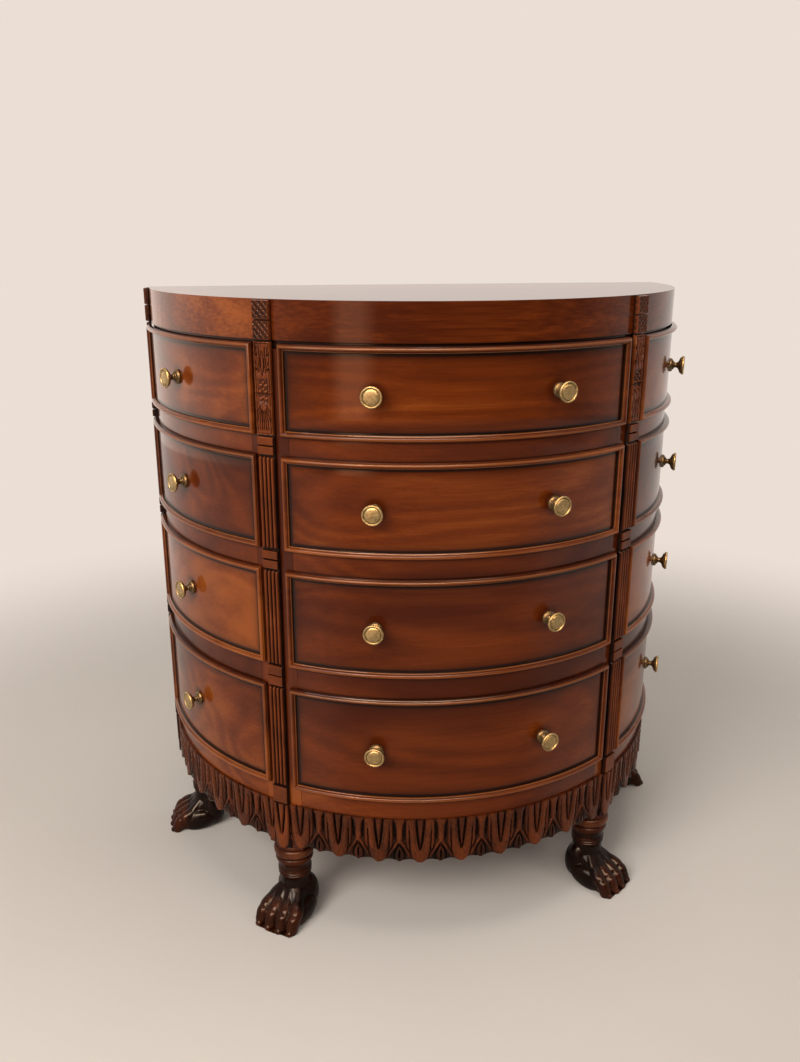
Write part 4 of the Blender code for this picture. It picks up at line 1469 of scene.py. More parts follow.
@dataclass
class LeafApron:
    """Bowed apron of hanging leaves under one bay.

    Attributes:
        bay: The bay that it hangs under.
        cell: Size of a cell of the carving.
        depth: Depth behind the plan radius.
        tip_rise: Height of the lowest tips over the foot of the CAD apron.
        ground: Level of the deepest cuts over the plan radius, in millimetres.
        bed: Level of the wood between the leaves, in millimetres.
        open_half: Half width of the bay's opening along the round, in millimetres.
        drop: Height of the carving, in millimetres.
    """

    bay: Bay
    cell: tuple[float, float] = (0.0008, 0.0009)
    depth: float = 0.020
    tip_rise: float = 0.0020
    ground: float = -3.0
    bed: float = 0.3
    open_half: float = 0.0
    drop: float = 0.0

    def dress(self) -> None:
        """Carves the apron flat, bends it and sets it on the frame."""
        node = f"apron_{self.bay.name}"
        low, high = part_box(node)
        arc = 2 * math.radians(self.bay.apron) * PLAN_RADIUS
        self.open_half = math.asin(self.bay.opening / PLAN_RADIUS) * PLAN_RADIUS / MM - 0.5
        relief = Relief(arc, low[2] + self.tip_rise, high[2], self.cell, self.depth)
        self.drop = (relief.high - relief.low) / MM
        piece = relief.carve(f"leaf_{node}", self.field, self.hem)
        bent(piece, arc)
        smooth(piece, 50.0)
        settle(piece, self.bay.angle)
        mounted(dressed(piece, CARVED), "carcase", Slot.CARVED, node)

    def from_leaf(self, across: Array) -> Array:
        """Distance in millimetres from the middle of the nearest large leaf.

        Args:
            across: Millimetres from the middle of the apron.

        Returns:
            The distance.
        """
        pitch = self.bay.pitch / MM
        shifted = across - self.bay.leaf / MM
        return np.abs(shifted - pitch * np.round(shifted / pitch))

    def hem(self, across: Array) -> Array:
        """Rise of the hem over the lowest tips, in metres."""
        away = self.from_leaf(across)
        return MM * np.interp(away, (0, 5, 9, 13, 17, 22, 27, 33), (0, 0.5, 1.8, 3.4, 3.6, 2.8, 1.6, 1.0))

    def field(self, across: Array, up: Array) -> TwoArrays:
        """Carved height of the leaves over the plan radius, and their wear with painted shade.

        Args:
            across: Millimetres from the middle of the apron.
            up: Millimetres over the lowest tips.

        Returns:
            Height in millimetres, and wear with painted shade.
        """
        away = self.from_leaf(across)
        down = self.drop - up
        gap = self.bay.pitch / MM / 2 - away
        forms = [form(gap, down) for form in (self.leaflet, self.spear, self.fork, self.small_leaf)]
        height = np.maximum.reduce([np.full_like(away, self.bed), self.large_leaf(away, down), *forms])
        chisel = (0.22 * np.sin(0.9 * across + 1.3 * np.sin(0.37 * up))
                  + 0.18 * np.sin(0.61 * up + 0.33 * across))
        height = np.where(height > self.bed, height + chisel, height)
        cut_in = np.maximum.reduce([self.slots(away, down), self.holes(gap, down), self.slit(gap, down)])
        height = height * (1.0 - cut_in) + self.ground * cut_in
        height = np.where(np.abs(across) > self.open_half, np.maximum(height, self.bed), height)
        # Painted shade: darker between the large leaves, low towards the hem.
        shade = 1.0 - 0.45 * ease_in(-gap, -18.0, -8.0) * ease_in(down, 44.0, 58.0)
        wear = np.clip((height + 1.2) / 6.6, 0.0, 1.0) * 0.65 * shade
        return height, wear * (1.0 - 0.9 * cut_in) * (0.92 + 0.08 * np.sin(0.11 * across))

    def large_leaf(self, away: Array, down: Array) -> Array:
        """Tongue of two lobes round a spear, with a round tip.

        Args:
            away: Millimetres from the middle of the leaf.
            down: Millimetres below the head.

        Returns:
            Height in millimetres.
        """
        stations = (0, 10, 24, 40, 52, 60, 66, 70, 73, 75.5)
        edge = np.interp(down, stations, (20.5, 17.6, 16.4, 15.8, 15.2, 14.4, 12.6, 10.4, 7.2, 2.4))
        line, gape = self.slot_line(down)
        lobe = raised(away - (line + gape + edge) / 2, (edge - line - gape) / 2, 1.7, 2.9)
        spear = raised(away, line - gape, 1.0, 2.8)
        tip = raised(away, edge, 1.7, 2.9)
        share = ease_in(down, 46.0, 57.0)
        vein = swell(away - line - gape - 3.6, 0.7, 0.8)
        vein = vein * ease_in(down, 8.0, 14.0) * ease_in(-down, -60.0, -50.0)
        leaf = np.maximum(np.maximum(lobe, spear), self.bed)
        return leaf * (1.0 - share) + np.maximum(tip, self.bed) * share - vein

    def slot_line(self, down: Array) -> TwoArrays:
        """Middle and half width of the slots beside a large leaf's spear."""
        line = np.interp(down, (0, 20, 40, 53), (6.4, 5.0, 2.7, 0.8))
        return line, np.interp(down, (0, 2, 16, 38, 49, 53), (0.3, 0.8, 1.35, 1.25, 0.7, 0.0))

    def slots(self, away: Array, down: Array) -> Array:
        """Depth of the two slots that meet above a large leaf's tip."""
        line, gape = self.slot_line(down)
        return ease_in(gape + 0.4 - np.abs(away - line), 0.0, 0.9) * (gape > 0.0)

    def leaflet(self, gap: Array, down: Array) -> Array:
        """Thin leaf beside each large one.

        Args:
            gap: Millimetres from the middle between two large leaves.
            down: Millimetres below the head.

        Returns:
            Height in millimetres.
        """
        line = np.interp(down, (2, 20, 40, 54), (12.6, 12.4, 12.8, 14.6))
        half = np.interp(down, (2, 12, 30, 46, 54), (2.6, 2.5, 2.4, 2.0, 0.3))
        return np.where(down < 54.0, raised(gap - line, half, 1.0, 2.8), FAR_BELOW)

    def spear(self, gap: Array, down: Array) -> Array:
        """Short spear between two large leaves."""
        half = np.interp(down, (0, 8, 20, 32, 39, 41), (10.0, 6.0, 4.6, 4.8, 2.4, 0.1))
        return np.where(down < 41.0, raised(gap, half, 1.3, 2.9), FAR_BELOW)

    def holes(self, gap: Array, down: Array) -> Array:
        """Depth of the tapered holes beside a spear.

        Args:
            gap: Millimetres from the middle between two large leaves.
            down: Millimetres below the head.

        Returns:
            How far each point is cut, 0 to 1.
        """
        half = np.interp(down, (5, 9, 18, 30, 38), (0.0, 1.3, 2.1, 1.7, 0.0))
        line = np.interp(down, (5, 20, 38), (8.4, 7.6, 7.0))
        return ease_in(half + 0.4 - np.abs(gap - line), 0.0, 0.9) * (half > 0.0)

    def fork(self, gap: Array, down: Array) -> Array:
        """Two arms that part below the spear, like an arch over the small leaf.

        Args:
            gap: Millimetres from the middle between two large leaves.
            down: Millimetres below the head.

        Returns:
            Height in millimetres.
        """
        line = np.interp(down, (35, 42, 52, 60, 66), (0.8, 4.2, 9.6, 14.0, 17.0))
        half = np.interp(down, (35, 44, 58, 66), (1.8, 2.6, 2.6, 1.0))
        return np.where((down > 35.0) & (down < 66.0), raised(gap - line, half, 1.0, 2.7), FAR_BELOW)

    def small_leaf(self, gap: Array, down: Array) -> Array:
        """Dark pointed leaf under the fork."""
        half = np.interp(down, (46, 52, 60, 67, 72, 75), (0.2, 3.8, 7.0, 7.4, 5.4, 2.0))
        return np.where(down > 46.0, raised(gap, half, 0.4, 2.5), FAR_BELOW)

    def slit(self, gap: Array, down: Array) -> Array:
        """Depth of the slit in a small leaf and of the lines round it.

        Args:
            gap: Millimetres from the middle between two large leaves.
            down: Millimetres below the head.

        Returns:
            How far each point is cut, 0 to 1.
        """
        half = np.interp(down, (51, 57, 66, 71), (0.0, 1.1, 1.2, 0.0))
        outline = np.interp(down, (46, 52, 60, 67, 72), (0.6, 4.6, 8.0, 8.6, 6.4))
        around = 0.75 * swell(gap - outline, 0.9, 1.0) * ((down > 46.0) & (down < 72.0))
        return np.maximum(around, ease_in(half + 0.3 - gap, 0.0, 0.8) * (half > 0.0))


@dataclass
class CarvedPilaster:
    """Post with an applied strip of lattice, leaves, bands and reeds.

    Attributes:
        proud: How far the strip stands over the plan radius, in millimetres.
        ground: Level of the strip's core, in millimetres.
        line: Width of the fine lines between the lengths of a strip.
        front_face: Angles where a front post's round face starts and ends.
        centre_side: Depth of a front post beside the centre bay.
        outer_side: Its depth beside the outer bay.
        back_face: Angles where a back post's round face starts and ends.
        front_seat: Plan corners of the block behind a front post, on the front centre line.
        back_seat: Plan corners of the block behind the right back post.
        shaded_back_wear: Share of the strip's wear that the back pilasters keep, which darkens them as
            painted shade.
        tall: Height of the length being carved, in millimetres.
        joints: Heights where the tone of a post changes.
        tones: Tone of a post at each of them; the darkest, at the post's foot, is painted shade.
    """

    width: float = PILASTER_WIDTH
    proud: float = 8.8
    ground: float = 3.4
    line: float = 0.0012
    reed_cell: float = 0.0016
    lattice_pitch: float = 9.4
    post_top: float = 0.9222
    front_face: tuple[float, float] = (33.10, 41.18)
    front_steps: int = 8
    centre_side: float = 0.0343
    outer_side: float = 0.0305
    back_face: tuple[float, float] = (84.68, 90.0)
    back_steps: int = 6
    back_inner: float = 0.408
    back_depth: float = 0.0256
    front_seat: tuple[PlanPoint, PlanPoint] = ((-0.030, -0.4175), (0.030, -0.374))
    back_seat: tuple[PlanPoint, PlanPoint] = ((0.374, -0.080), (0.4165, -0.005))
    seat_ease: float = 0.0015
    seat_wear: float = 0.46
    shaded_back_wear: float = 0.60
    tall: float = 0.0
    joints: tuple[float, ...] = (0.208, 0.216, 0.242, 0.262)
    tones: tuple[float, ...] = (-3.0, 0.5, 0.5, -1.1)

    def strip(self) -> Object:
        """The whole strip on the front centre line, its ground at the plan radius.

        Returns:
            The strip, to be copied.
        """
        rows = [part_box(f"centre_drawer_{row}_front") for row in reversed(ROWS)]
        levels = [(low[2], high[2]) for low, high in rows]
        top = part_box("top_board")[1][2]
        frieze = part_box("frieze")[0][2] + BowedFrieze.step_drop
        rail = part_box("base_board")[0][2]
        half = self.width / 2 - 0.4 * MM
        front = -self.ground * MM
        ease = 0.3 * MM
        parts = [block("core", (-half, front, POST_FOOT), (half, 4.5 * MM, self.post_top), ease),
                 block("neck", (-half, front, frieze - 15.0 * MM), (half, -0.3 * MM, top - MM), ease),
                 self.slab("tongue", POST_FOOT + self.line, rail - self.line, self.tongue),
                 self.slab("foot_block", rail + self.line, levels[0][0] - self.line, self.plain)]
        for low, high in levels[:-1]:
            parts.append(self.slab("reeds", low + self.line, high - self.line, self.reeds, self.reed_cell))
        for (_, head), (foot_above, _) in zip(levels, levels[1:]):
            parts += self.pair("band", head, foot_above, self.plain)
        parts.append(self.slab("leaves", levels[-1][0] + self.line, frieze - self.line, self.leaves))
        parts += self.pair("lattice", frieze, top, self.lattice)
        piece = dressed(joined("strip_pattern", parts), CARVED)
        smooth(piece, 40.0)
        stand(piece, 0.0, (0.0, -PLAN_RADIUS, 0.0))
        return piece

    def slab(self, name: str, low: float, high: float, field: Field, cell: float = 0.0005) -> Object:
        """One carved length of the strip, between two heights, in cells of a size up the strip."""
        self.tall = (high - low) / MM
        return Relief(self.width, low, high, (0.00045, cell), -2.0 * MM).carve(name, field)

    def pair(self, name: str, low: float, high: float, field: Field) -> list[Object]:
        """Two stacked blocks with a fine line between them."""
        middle = (low + high) / 2
        return [self.slab(name, low + self.line, middle - self.line / 2, field),
                self.slab(name, middle + self.line / 2, high - self.line, field)]

    def margin(self, across: Array, up: Array) -> Array:
        """Distance to the nearest edge of a slab."""
        side = self.width / MM / 2 - np.abs(across)
        return np.minimum(np.minimum(side, up), self.tall - up)

    def rounded(self, margin: Array, level: float, ease: float) -> Array:
        """Level with a rounded edge down to the ground."""
        share = np.clip(margin / ease, 0.0, 1.0)
        return self.ground + (level - self.ground) * np.sqrt(1.0 - (1.0 - share) ** 2)

    def plain(self, across: Array, up: Array) -> TwoArrays:
        """Plain block with rounded edges, rubbed pale along them.

        Args:
            across: Millimetres from the middle of the strip.
            up: Millimetres over the slab's foot.

        Returns:
            Height in millimetres, and wear.
        """
        margin = self.margin(across, up)
        rubbed = np.exp(-((margin - 0.9) / 0.5) ** 2)
        return self.rounded(margin, self.proud, 1.6), 0.60 + 0.16 * rubbed - 0.50 * (margin < 0.5)

    def reeds(self, across: Array, up: Array) -> TwoArrays:
        """Four reeds with rounded ends, dark between.

        Args:
            across: Millimetres from the middle of the strip.
            up: Millimetres over the slab's foot.

        Returns:
            Height in millimetres, and wear.
        """
        pitch = (self.width / MM - 0.6) / 4
        from_middle = np.abs((across / pitch) % 1.0 - 0.5) * pitch
        end = np.clip(np.minimum(up, self.tall - up), 0.0, 4.0)
        reach = np.clip(np.sqrt(np.clip(1.0 - (1.0 - end / 4.0) ** 2, 0.0, 1.0)), 0.12, 1.0)
        crown = swell(from_middle, 0.92 * pitch / 2, 1.0)
        height = self.ground - 0.4 + (self.proud - self.ground + 0.2) * crown * reach
        return height, 0.04 + 0.66 * crown ** 1.6 * reach

    def lattice(self, across: Array, up: Array) -> TwoArrays:
        """Diagonal ridges that cross over a sunk ground, inside a narrow border.

        Args:
            across: Millimetres from the middle of the strip.
            up: Millimetres over the slab's foot.

        Returns:
            Height in millimetres, and wear.
        """
        pitch = self.lattice_pitch
        margin = self.margin(across, up)
        rise = up - self.tall / 2
        lines = [np.abs(((across + sign * rise) / pitch) % 1.0 - 0.5) * pitch * 0.707 for sign in (-1, 1)]
        ridge = np.maximum.reduce([swell(line, 0.7, 1.0) for line in lines])
        border = np.exp(-((margin - 0.7) / 0.5) ** 2)
        proud = np.maximum(ridge, border) * np.clip(margin / 0.6, 0.0, 1.0)
        level = self.rounded(margin, 7.2, 0.8) + 1.1 * proud
        return level, np.maximum(0.22 + 0.36 * ridge, 0.22 + 0.50 * border)

    def tongue(self, across: Array, up: Array) -> TwoArrays:
        """Tongue leaf that points down, veined in a V towards its middle.

        Args:
            across: Millimetres from the middle of the strip.
            up: Millimetres over the slab's foot.

        Returns:
            Height in millimetres, and wear.
        """
        down = self.tall - up
        side = np.abs(across)
        edge = np.interp(up, (0, 6, 22, 60, self.tall), (6.5, 11.0, 13.0, 13.4, 13.4))
        slot = np.interp(down, (0, 26, 56), (7.0, 5.0, 1.0))
        gape = np.interp(down, (0, 3, 26, 50, 56), (0.6, 1.2, 1.5, 0.9, 0.0))
        lobe = raised(side - (slot + gape + edge) / 2, (edge - slot - gape) / 2, 5.2, 3.0)
        spear = raised(side, slot - gape, 5.0, 3.2)
        height = np.maximum(np.maximum(lobe, spear), self.ground)
        tip = np.maximum(raised(side, edge, 5.2, 3.0), self.ground)
        share = ease_in(down, 50.0, 60.0)
        height = height * (1.0 - share) + tip * share
        return height, np.clip((height - self.ground) / 6.2, 0.0, 1.0) * 0.8

    def leaves(self, across: Array, up: Array) -> TwoArrays:
        """Looped leaves over berries and a hanging plume, cut into a bed inside a narrow border.

        Args:
            across: Millimetres from the middle of the strip.
            up: Millimetres over the slab's foot.

        Returns:
            Height in millimetres, and wear.
        """
        side = np.abs(across)
        margin = self.margin(across, up)
        share = up / self.tall
        sunk = np.maximum.reduce([self.loops(side, share), self.plume(side, share), self.drilled(side, up)])
        sunk = np.maximum(sunk, np.exp(-((margin - 2.2) / 0.5) ** 2) * 0.6)
        swollen = self.berries(side, up)
        chisel = 0.35 * np.sin(0.8 * across + 0.9 * np.sin(0.3 * up)) + 0.25 * np.sin(0.55 * up)
        height = self.rounded(margin, 7.2, 0.9) + chisel - 2.4 * sunk + swollen
        border = np.exp(-((margin - 0.9) / 0.5) ** 2)
        wear = 0.60 + 0.12 * chisel - 0.42 * sunk + 0.17 * swollen + 0.24 * border
        return np.minimum(height, self.proud), np.clip(wear, 0.0, 1.0)

    def drilled(self, side: Array, up: Array) -> Array:
        """Small drilled eyes along the edges of the looped leaves."""
        eyes = [np.hypot(side - 9.6, up - share * self.tall) for share in (0.71, 0.86)]
        return 1.3 * ease_in(-np.minimum(eyes[0], eyes[1]), -1.7, -1.1)

    def loops(self, side: Array, share: Array) -> Array:
        """Grooves of the leaves that fan up from the berries, round one long loop.

        Args:
            side: Millimetres from the middle of the strip.
            share: Share of the panel's height.

        Returns:
            How far each point is cut, 0 to 1.
        """
        rise = np.clip((share - 0.60) / 0.36, 0.0, 1.0)
        loop = swell(side - 2.5 * np.sin(np.pi * np.clip((rise - 0.12) / 0.74, 0.0, 1.0)) ** 0.7, 0.5, 0.9)
        loop = loop * ((rise > 0.12) & (rise < 0.86))
        fan = self.fan(side, rise, ((5.0, 0.9, 0.32), (9.2, 1.1, 0.36), (17.0, 1.3, 0.27), (34.0, 1.6, 0.19)))
        return np.maximum(loop, fan)

    def fan(self, side: Array, rise: Array, lines: Sequence[Point]) -> Array:
        """Grooves that fan out from the middle of the panel, each with its reach, power and start."""
        cuts = [swell(side - reach * np.sin(1.5 * rise) ** power, 0.55, 1.0) * (rise > start)
                for reach, power, start in lines]
        return np.maximum.reduce(cuts) * ((rise < 0.97) & (side < 10.8))

    def berries(self, side: Array, up: Array) -> Array:
        """Clusters of round berries in the middle of the panel.

        Args:
            side: Millimetres from the middle of the strip.
            up: Millimetres over the slab's foot.

        Returns:
            Height in millimetres.
        """
        spots = ((0.0, 0.57, 2.6), (4.2, 0.535, 3.0), (0.0, 0.50, 2.8), (4.6, 0.475, 2.4), (0.0, 0.415, 2.6),
                 (4.2, 0.395, 2.6), (0.0, 0.365, 2.2))
        bumps = [swell(np.hypot(side - across, up - share * self.tall), size, 2.3)
                 for across, share, size in spots]
        return np.maximum.reduce(bumps)

    def plume(self, side: Array, share: Array) -> Array:
        """Grooves of the hanging plume, and the sunk bed round the berries.

        Args:
            side: Millimetres from the middle of the strip.
            share: Share of the panel's height.

        Returns:
            How far each point is cut, 0 to 1.
        """
        drop = np.clip((0.40 - share) / 0.36, 0.0, 1.0)
        plume = self.fan(side, drop, ((0.0, 1.0, 0.40), (3.6, 0.9, 0.36), (7.4, 1.0, 0.34), (13.0, 1.2, 0.28),
                                      (26.0, 1.5, 0.21)))
        bed = 0.70 * ease_in(9.5 - side, 0.0, 2.5)
        bed = bed * ease_in(share, 0.33, 0.38) * ease_in(-share, -0.62, -0.58)
        return np.maximum.reduce([plume, bed, swell((share - 0.45) * self.tall, 0.6, 1.0)])

    def post(self, name: str, outline: Sequence[PlanPoint]) -> Object:
        """Upright post raised from its plan outline.

        Args:
            name: Name of the post.
            outline: Corners of the plan.

        Returns:
            The closed post.
        """
        piece = drawn_line(name, [(x, y, POST_FOOT) for x, y in outline], closed=True)
        with editing(piece):
            choose_all()
            bpy.ops.mesh.edge_face_add()
            draw_out((0, 0, self.post_top - POST_FOOT))
            for level in self.joints:
                choose_all()
                bpy.ops.mesh.bisect(plane_co=(0, 0, level), plane_no=(0, 0, 1))
            clean_skin()
        return dressed(piece, STILE)

    def round_face(self, face: tuple[float, float], steps: int) -> list[PlanPoint]:
        """Plan points along the round face of a post."""
        return [polar(PLAN_RADIUS, face[0] + (face[1] - face[0]) * step / steps) for step in range(steps + 1)]

    def front_post(self) -> Object:
        """Right front post, between the centre and the right bay.

        Returns:
            The post.
        """
        outline = self.round_face(self.front_face, self.front_steps)
        slide = polar(self.outer_side, SIDE_ANGLE)
        outline.append((outline[-1][0] - slide[0], outline[-1][1] - slide[1]))
        outline.append((outline[0][0], outline[0][1] + self.centre_side))
        return self.post("front_post", outline)

    def back_post(self) -> Object:
        """Right back post, at the end of the round.

        Returns:
            The post.
        """
        outline = self.round_face(self.back_face, self.back_steps)
        outline += [(self.back_inner, 0.0), (self.back_inner, -self.back_depth)]
        return self.post("back_post", outline)

    def corner(self, low: PlanPoint, high: PlanPoint) -> Object:
        """Block behind the aprons that seats a post on its foot.

        Args:
            low: Lowest corner of its plan.
            high: Highest corner of its plan.

        Returns:
            The block.
        """
        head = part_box("apron_centre")[1][2]
        piece = block("corner", (*low, POST_FOOT), (*high, head), self.seat_ease)
        mark(piece, "carve", np.full(len(piece.data.vertices), self.seat_wear))
        return dressed(piece, CARVED)

    def dress(self) -> None:
        """Makes the four pilasters, each with its own copy of the strip."""
        pattern = self.strip()
        (inner, ahead), (outer, behind) = self.back_seat
        back_slip = -self.width / 2 - 0.5 * MM
        for name, side in SIDES:
            seat = self.corner(*self.front_seat)
            stand(seat, side * PILASTER_ANGLE)
            self.mount(f"front_pilaster_{name}", side, self.front_post(), seat, pattern, PILASTER_ANGLE, 0.0)
            ends = sorted((side * inner, side * outer))
            seat = self.corner((ends[0], ahead), (ends[1], behind))
            self.mount(f"back_pilaster_{name}", side, self.back_post(), seat, pattern, 90.0, back_slip)
        discard(pattern)

    def mount(self, node: str, side: int, post: Object, seat: Object, pattern: Object,
              angle: float, slip: float) -> None:
        """Joins a post, its seat and its strip, and sets them on the frame.

        Args:
            node: CAD node of the pilaster.
            side: -1 on the left, 1 on the right.
            post: The right-hand post.
            seat: The corner block, in its place.
            pattern: The strip to copy.
            angle: Angle of the plan that the strip faces on the right.
            slip: Move of the strip away from the back line.
        """
        if side < 0:
            post.scale = (-1.0, 1.0, 1.0)
            fix_place(post)
            with editing(post):
                clean_skin()
        strip = copied(pattern, "strip")
        stand(strip, side * angle, (0.0, slip, 0.0))
        # Painted shade: the back pilasters' strips are darkened.
        if slip:
            paint_shade_by_wear(strip, self.shaded_back_wear)
        piece = joined(f"carved_{node}", [strip, post, seat])
        settle(piece)
        tones = self.tones if slip == 0.0 else self.tones[-1:] * len(self.joints)
        mark_board(piece, 0.7 * angle + side, np.interp(coordinates(piece)[:, 2], self.joints, tones))
        mounted(piece, "carcase", Slot.CARVED, node)


@dataclass
class PawFoot:
    """Paw foot with four clawed toes under a turned, ringed shaft.

    Attributes:
        shaft: Radius and height of the turned part, in millimetres.
        steps: Steps round the shaft.
        voxel: Size of the remesh that runs the paw's forms together.
        toes: Place of each toe across the paw, in millimetres.
        beads: Round forms that run together into one toe.
        stations: Shares of the way along a toe where its thickness is given.
        thickness: Half thickness at each of them, in millimetres, with a crease at each dip.
        sole: Height where the paw is sawn flat.
        wear_depth: Move that counts as a full hollow or crest.
        front_angle: Angle of the plan that a front foot faces.
        front_inset: Distance of a front foot's middle inside the plan radius.
        back_place: Plan place of the right back foot.
    """

    shaft: Profile = (
        (0.0, 133.5), (29.2, 133.5), (30.0, 132.8), (30.3, 130.6), (29.8, 128.4), (28.8, 126.8),
        (28.8, 126.2), (31.2, 125.0), (32.5, 122.6), (33.0, 119.4), (32.8, 116.0), (31.8, 113.0),
        (30.2, 110.8), (27.9, 109.8), (27.8, 109.0), (29.6, 108.2), (30.6, 106.2), (30.6, 103.0),
        (29.7, 100.0), (28.2, 97.6), (26.6, 96.4),
        (26.4, 94.0), (26.0, 90.0), (25.8, 86.4), (26.2, 85.6), (27.2, 84.4), (27.2, 82.6), (26.2, 81.5),
        (25.6, 80.9), (26.9, 79.9), (27.1, 78.3), (26.0, 77.2), (25.4, 76.6), (26.6, 75.6), (26.8, 74.0),
        (25.7, 72.9), (25.0, 70.0), (24.7, 64.0), (24.9, 57.0), (25.4, 50.0), (24.0, 40.0), (0.0, 36.0))
    steps: int = 80
    voxel: float = 0.0009
    toes: tuple[float, ...] = (-29.4, -10.0, 10.0, 29.4)
    beads: int = 44
    stations: tuple[float, ...] = (0.0, 0.16, 0.28, 0.40, 0.52, 0.59, 0.69, 0.78, 0.83, 0.91, 1.0)
    thickness: tuple[float, ...] = (6.6, 8.2, 9.4, 10.8, 11.2, 10.0, 11.0, 10.5, 9.3, 9.9, 8.4)
    sole: float = 0.0002
    wear_depth: float = 0.0030
    front_angle: float = 37.4
    front_inset: float = 0.025
    back_place: PlanPoint = (0.398, -0.050)

    def form(self, place: Point, radii: Point, tilt: float = 0.0, swing: float = 0.0) -> Object:
        """An egg-shaped form of the paw.

        Args:
            place: Its middle, in millimetres.
            radii: Its half sizes, in millimetres.
            tilt: Turn about the X axis, in degrees.
            swing: Turn about the Z axis, in degrees.

        Returns:
            The form.
        """
        clear_choice()
        bpy.ops.mesh.primitive_uv_sphere_add(segments=32, ring_count=20, radius=MM,
                                             location=[value * MM for value in place])
        piece = named("form")
        piece.scale = radii
        piece.rotation_euler = (math.radians(tilt), 0.0, math.radians(swing))
        fix_place(piece)
        return piece

    def toe(self, across: float) -> list[Object]:
        """One toe: a tendon that swells to a roll over a knuckle, creased twice, with a short claw.

        Args:
            across: Place of the toe across the paw, in millimetres.

        Returns:
            Its forms.
        """
        back = 2.5 if abs(across) > 15.0 else 0.0
        shares = np.linspace(0.0, 1.0, self.beads)
        stations = (0.0, 0.16, 0.28, 0.48, 0.66, 0.87, 1.0)
        sideways = across * np.interp(shares, stations, (0.40, 0.62, 0.78, 0.94, 0.98, 1.0, 1.0))
        ahead = np.interp(shares, stations, (-12.0, -23.3, -31.3, -44.0, -54.0, -60.0, -61.0)) + back
        height = np.interp(shares, stations, (55.0, 42.6, 33.6, 25.5, 19.0, 10.0, 3.5))
        thick = np.interp(shares, self.stations, self.thickness)
        roll = [self.form((x, y, z), (r, r, r)) for x, y, z, r in zip(sideways, ahead, height, thick)]
        return [*roll, self.form((across, back - 69.5, 3.8), (5.4, 4.2, 4.8))]

    def mass(self) -> Object:
        """Wedge of the paw: round forms under one tight skin.

        Returns:
            The wedge.
        """
        forms = [self.form((0.0, 0.0, 43.0), (27.0, 26.0, 24.0)),
                 self.form((0.0, 5.0, 16.0), (31.0, 23.0, 17.0))]
        for side in (-1, 1):
            forms += [self.form((side * 24.0, -38.0, 21.0), (10.0, 9.0, 12.0)),
                      self.form((side * 26.0, -50.0, 8.0), (10.0, 9.0, 8.0))]
        piece = joined("mass", forms)
        with editing(piece):
            choose_all()
            bpy.ops.mesh.convex_hull()
        return piece

    def paw(self) -> Object:
        """Runs the mass, its side lobes and its toes together and flattens the sole.

        Returns:
            The paw, closed and sawn flat below.
        """
        forms = [self.mass()]
        for side in (-1, 1):
            forms += [self.form((side * 15.5, 8.0, 35.0), (20.5, 21.0, 34.0), 4.0),
                      self.form((side * 29.0, -20.0, 18.0), (12.0, 32.0, 19.0), 14.0, side * -4.0)]
        for across in self.toes:
            forms += self.toe(across)
        piece = joined("paw", forms)
        applied(piece, "REMESH", mode="VOXEL", voxel_size=self.voxel)
        applied(piece, "SMOOTH", factor=0.5, iterations=7)
        cut(piece, (0.0, 0.0, self.sole), (0.0, 0.0, -1.0))
        return piece

    def darken(self, paw: Object) -> None:
        """Paints shade on the instep and the heel, leaving them darker than the toes."""
        ahead = -coordinates(paw)[:, 1] / MM
        paint_shade_by_wear(paw, 0.55 + 0.45 * ease_in(ahead, 30.0, 46.0))

    def pattern(self) -> Object:
        """The paw under its shaft, pointing along -Y, with its wear marked.

        Returns:
            The dressed foot, to be copied.
        """
        shaft = turned("shaft", [(r * MM, z * MM) for r, z in self.shaft], self.steps)
        x, y, _ = coordinates(shaft).T
        wear = np.interp(np.hypot(x, y) / MM, (25.2, 27.0, 30.5, 33.0), (0.34, 0.52, 0.72, 0.84))
        mark(shaft, "carve", wear)
        paw = self.paw()
        mark_wear(paw, self.wear_depth)
        self.darken(paw)
        piece = joined("foot_pattern", [shaft, paw])
        smooth(piece, 60.0)
        return dressed(piece, PAW)

    def dress(self) -> None:
        """Sets a copy of the foot under each pilaster."""
        pattern = self.pattern()
        for name, side in SIDES:
            angle = side * self.front_angle
            front = (f"front_foot_{name}", angle, polar(PLAN_RADIUS - self.front_inset, angle))
            back = (f"back_foot_{name}", side * 90.0, (side * self.back_place[0], self.back_place[1]))
            for node, angle, place in (front, back):
                piece = copied(pattern, f"paw_{node}")
                settle(piece, angle, (*place, 0.0))
                mounted(piece, "carcase", Slot.DARK, node)
        discard(pattern)


# Studio

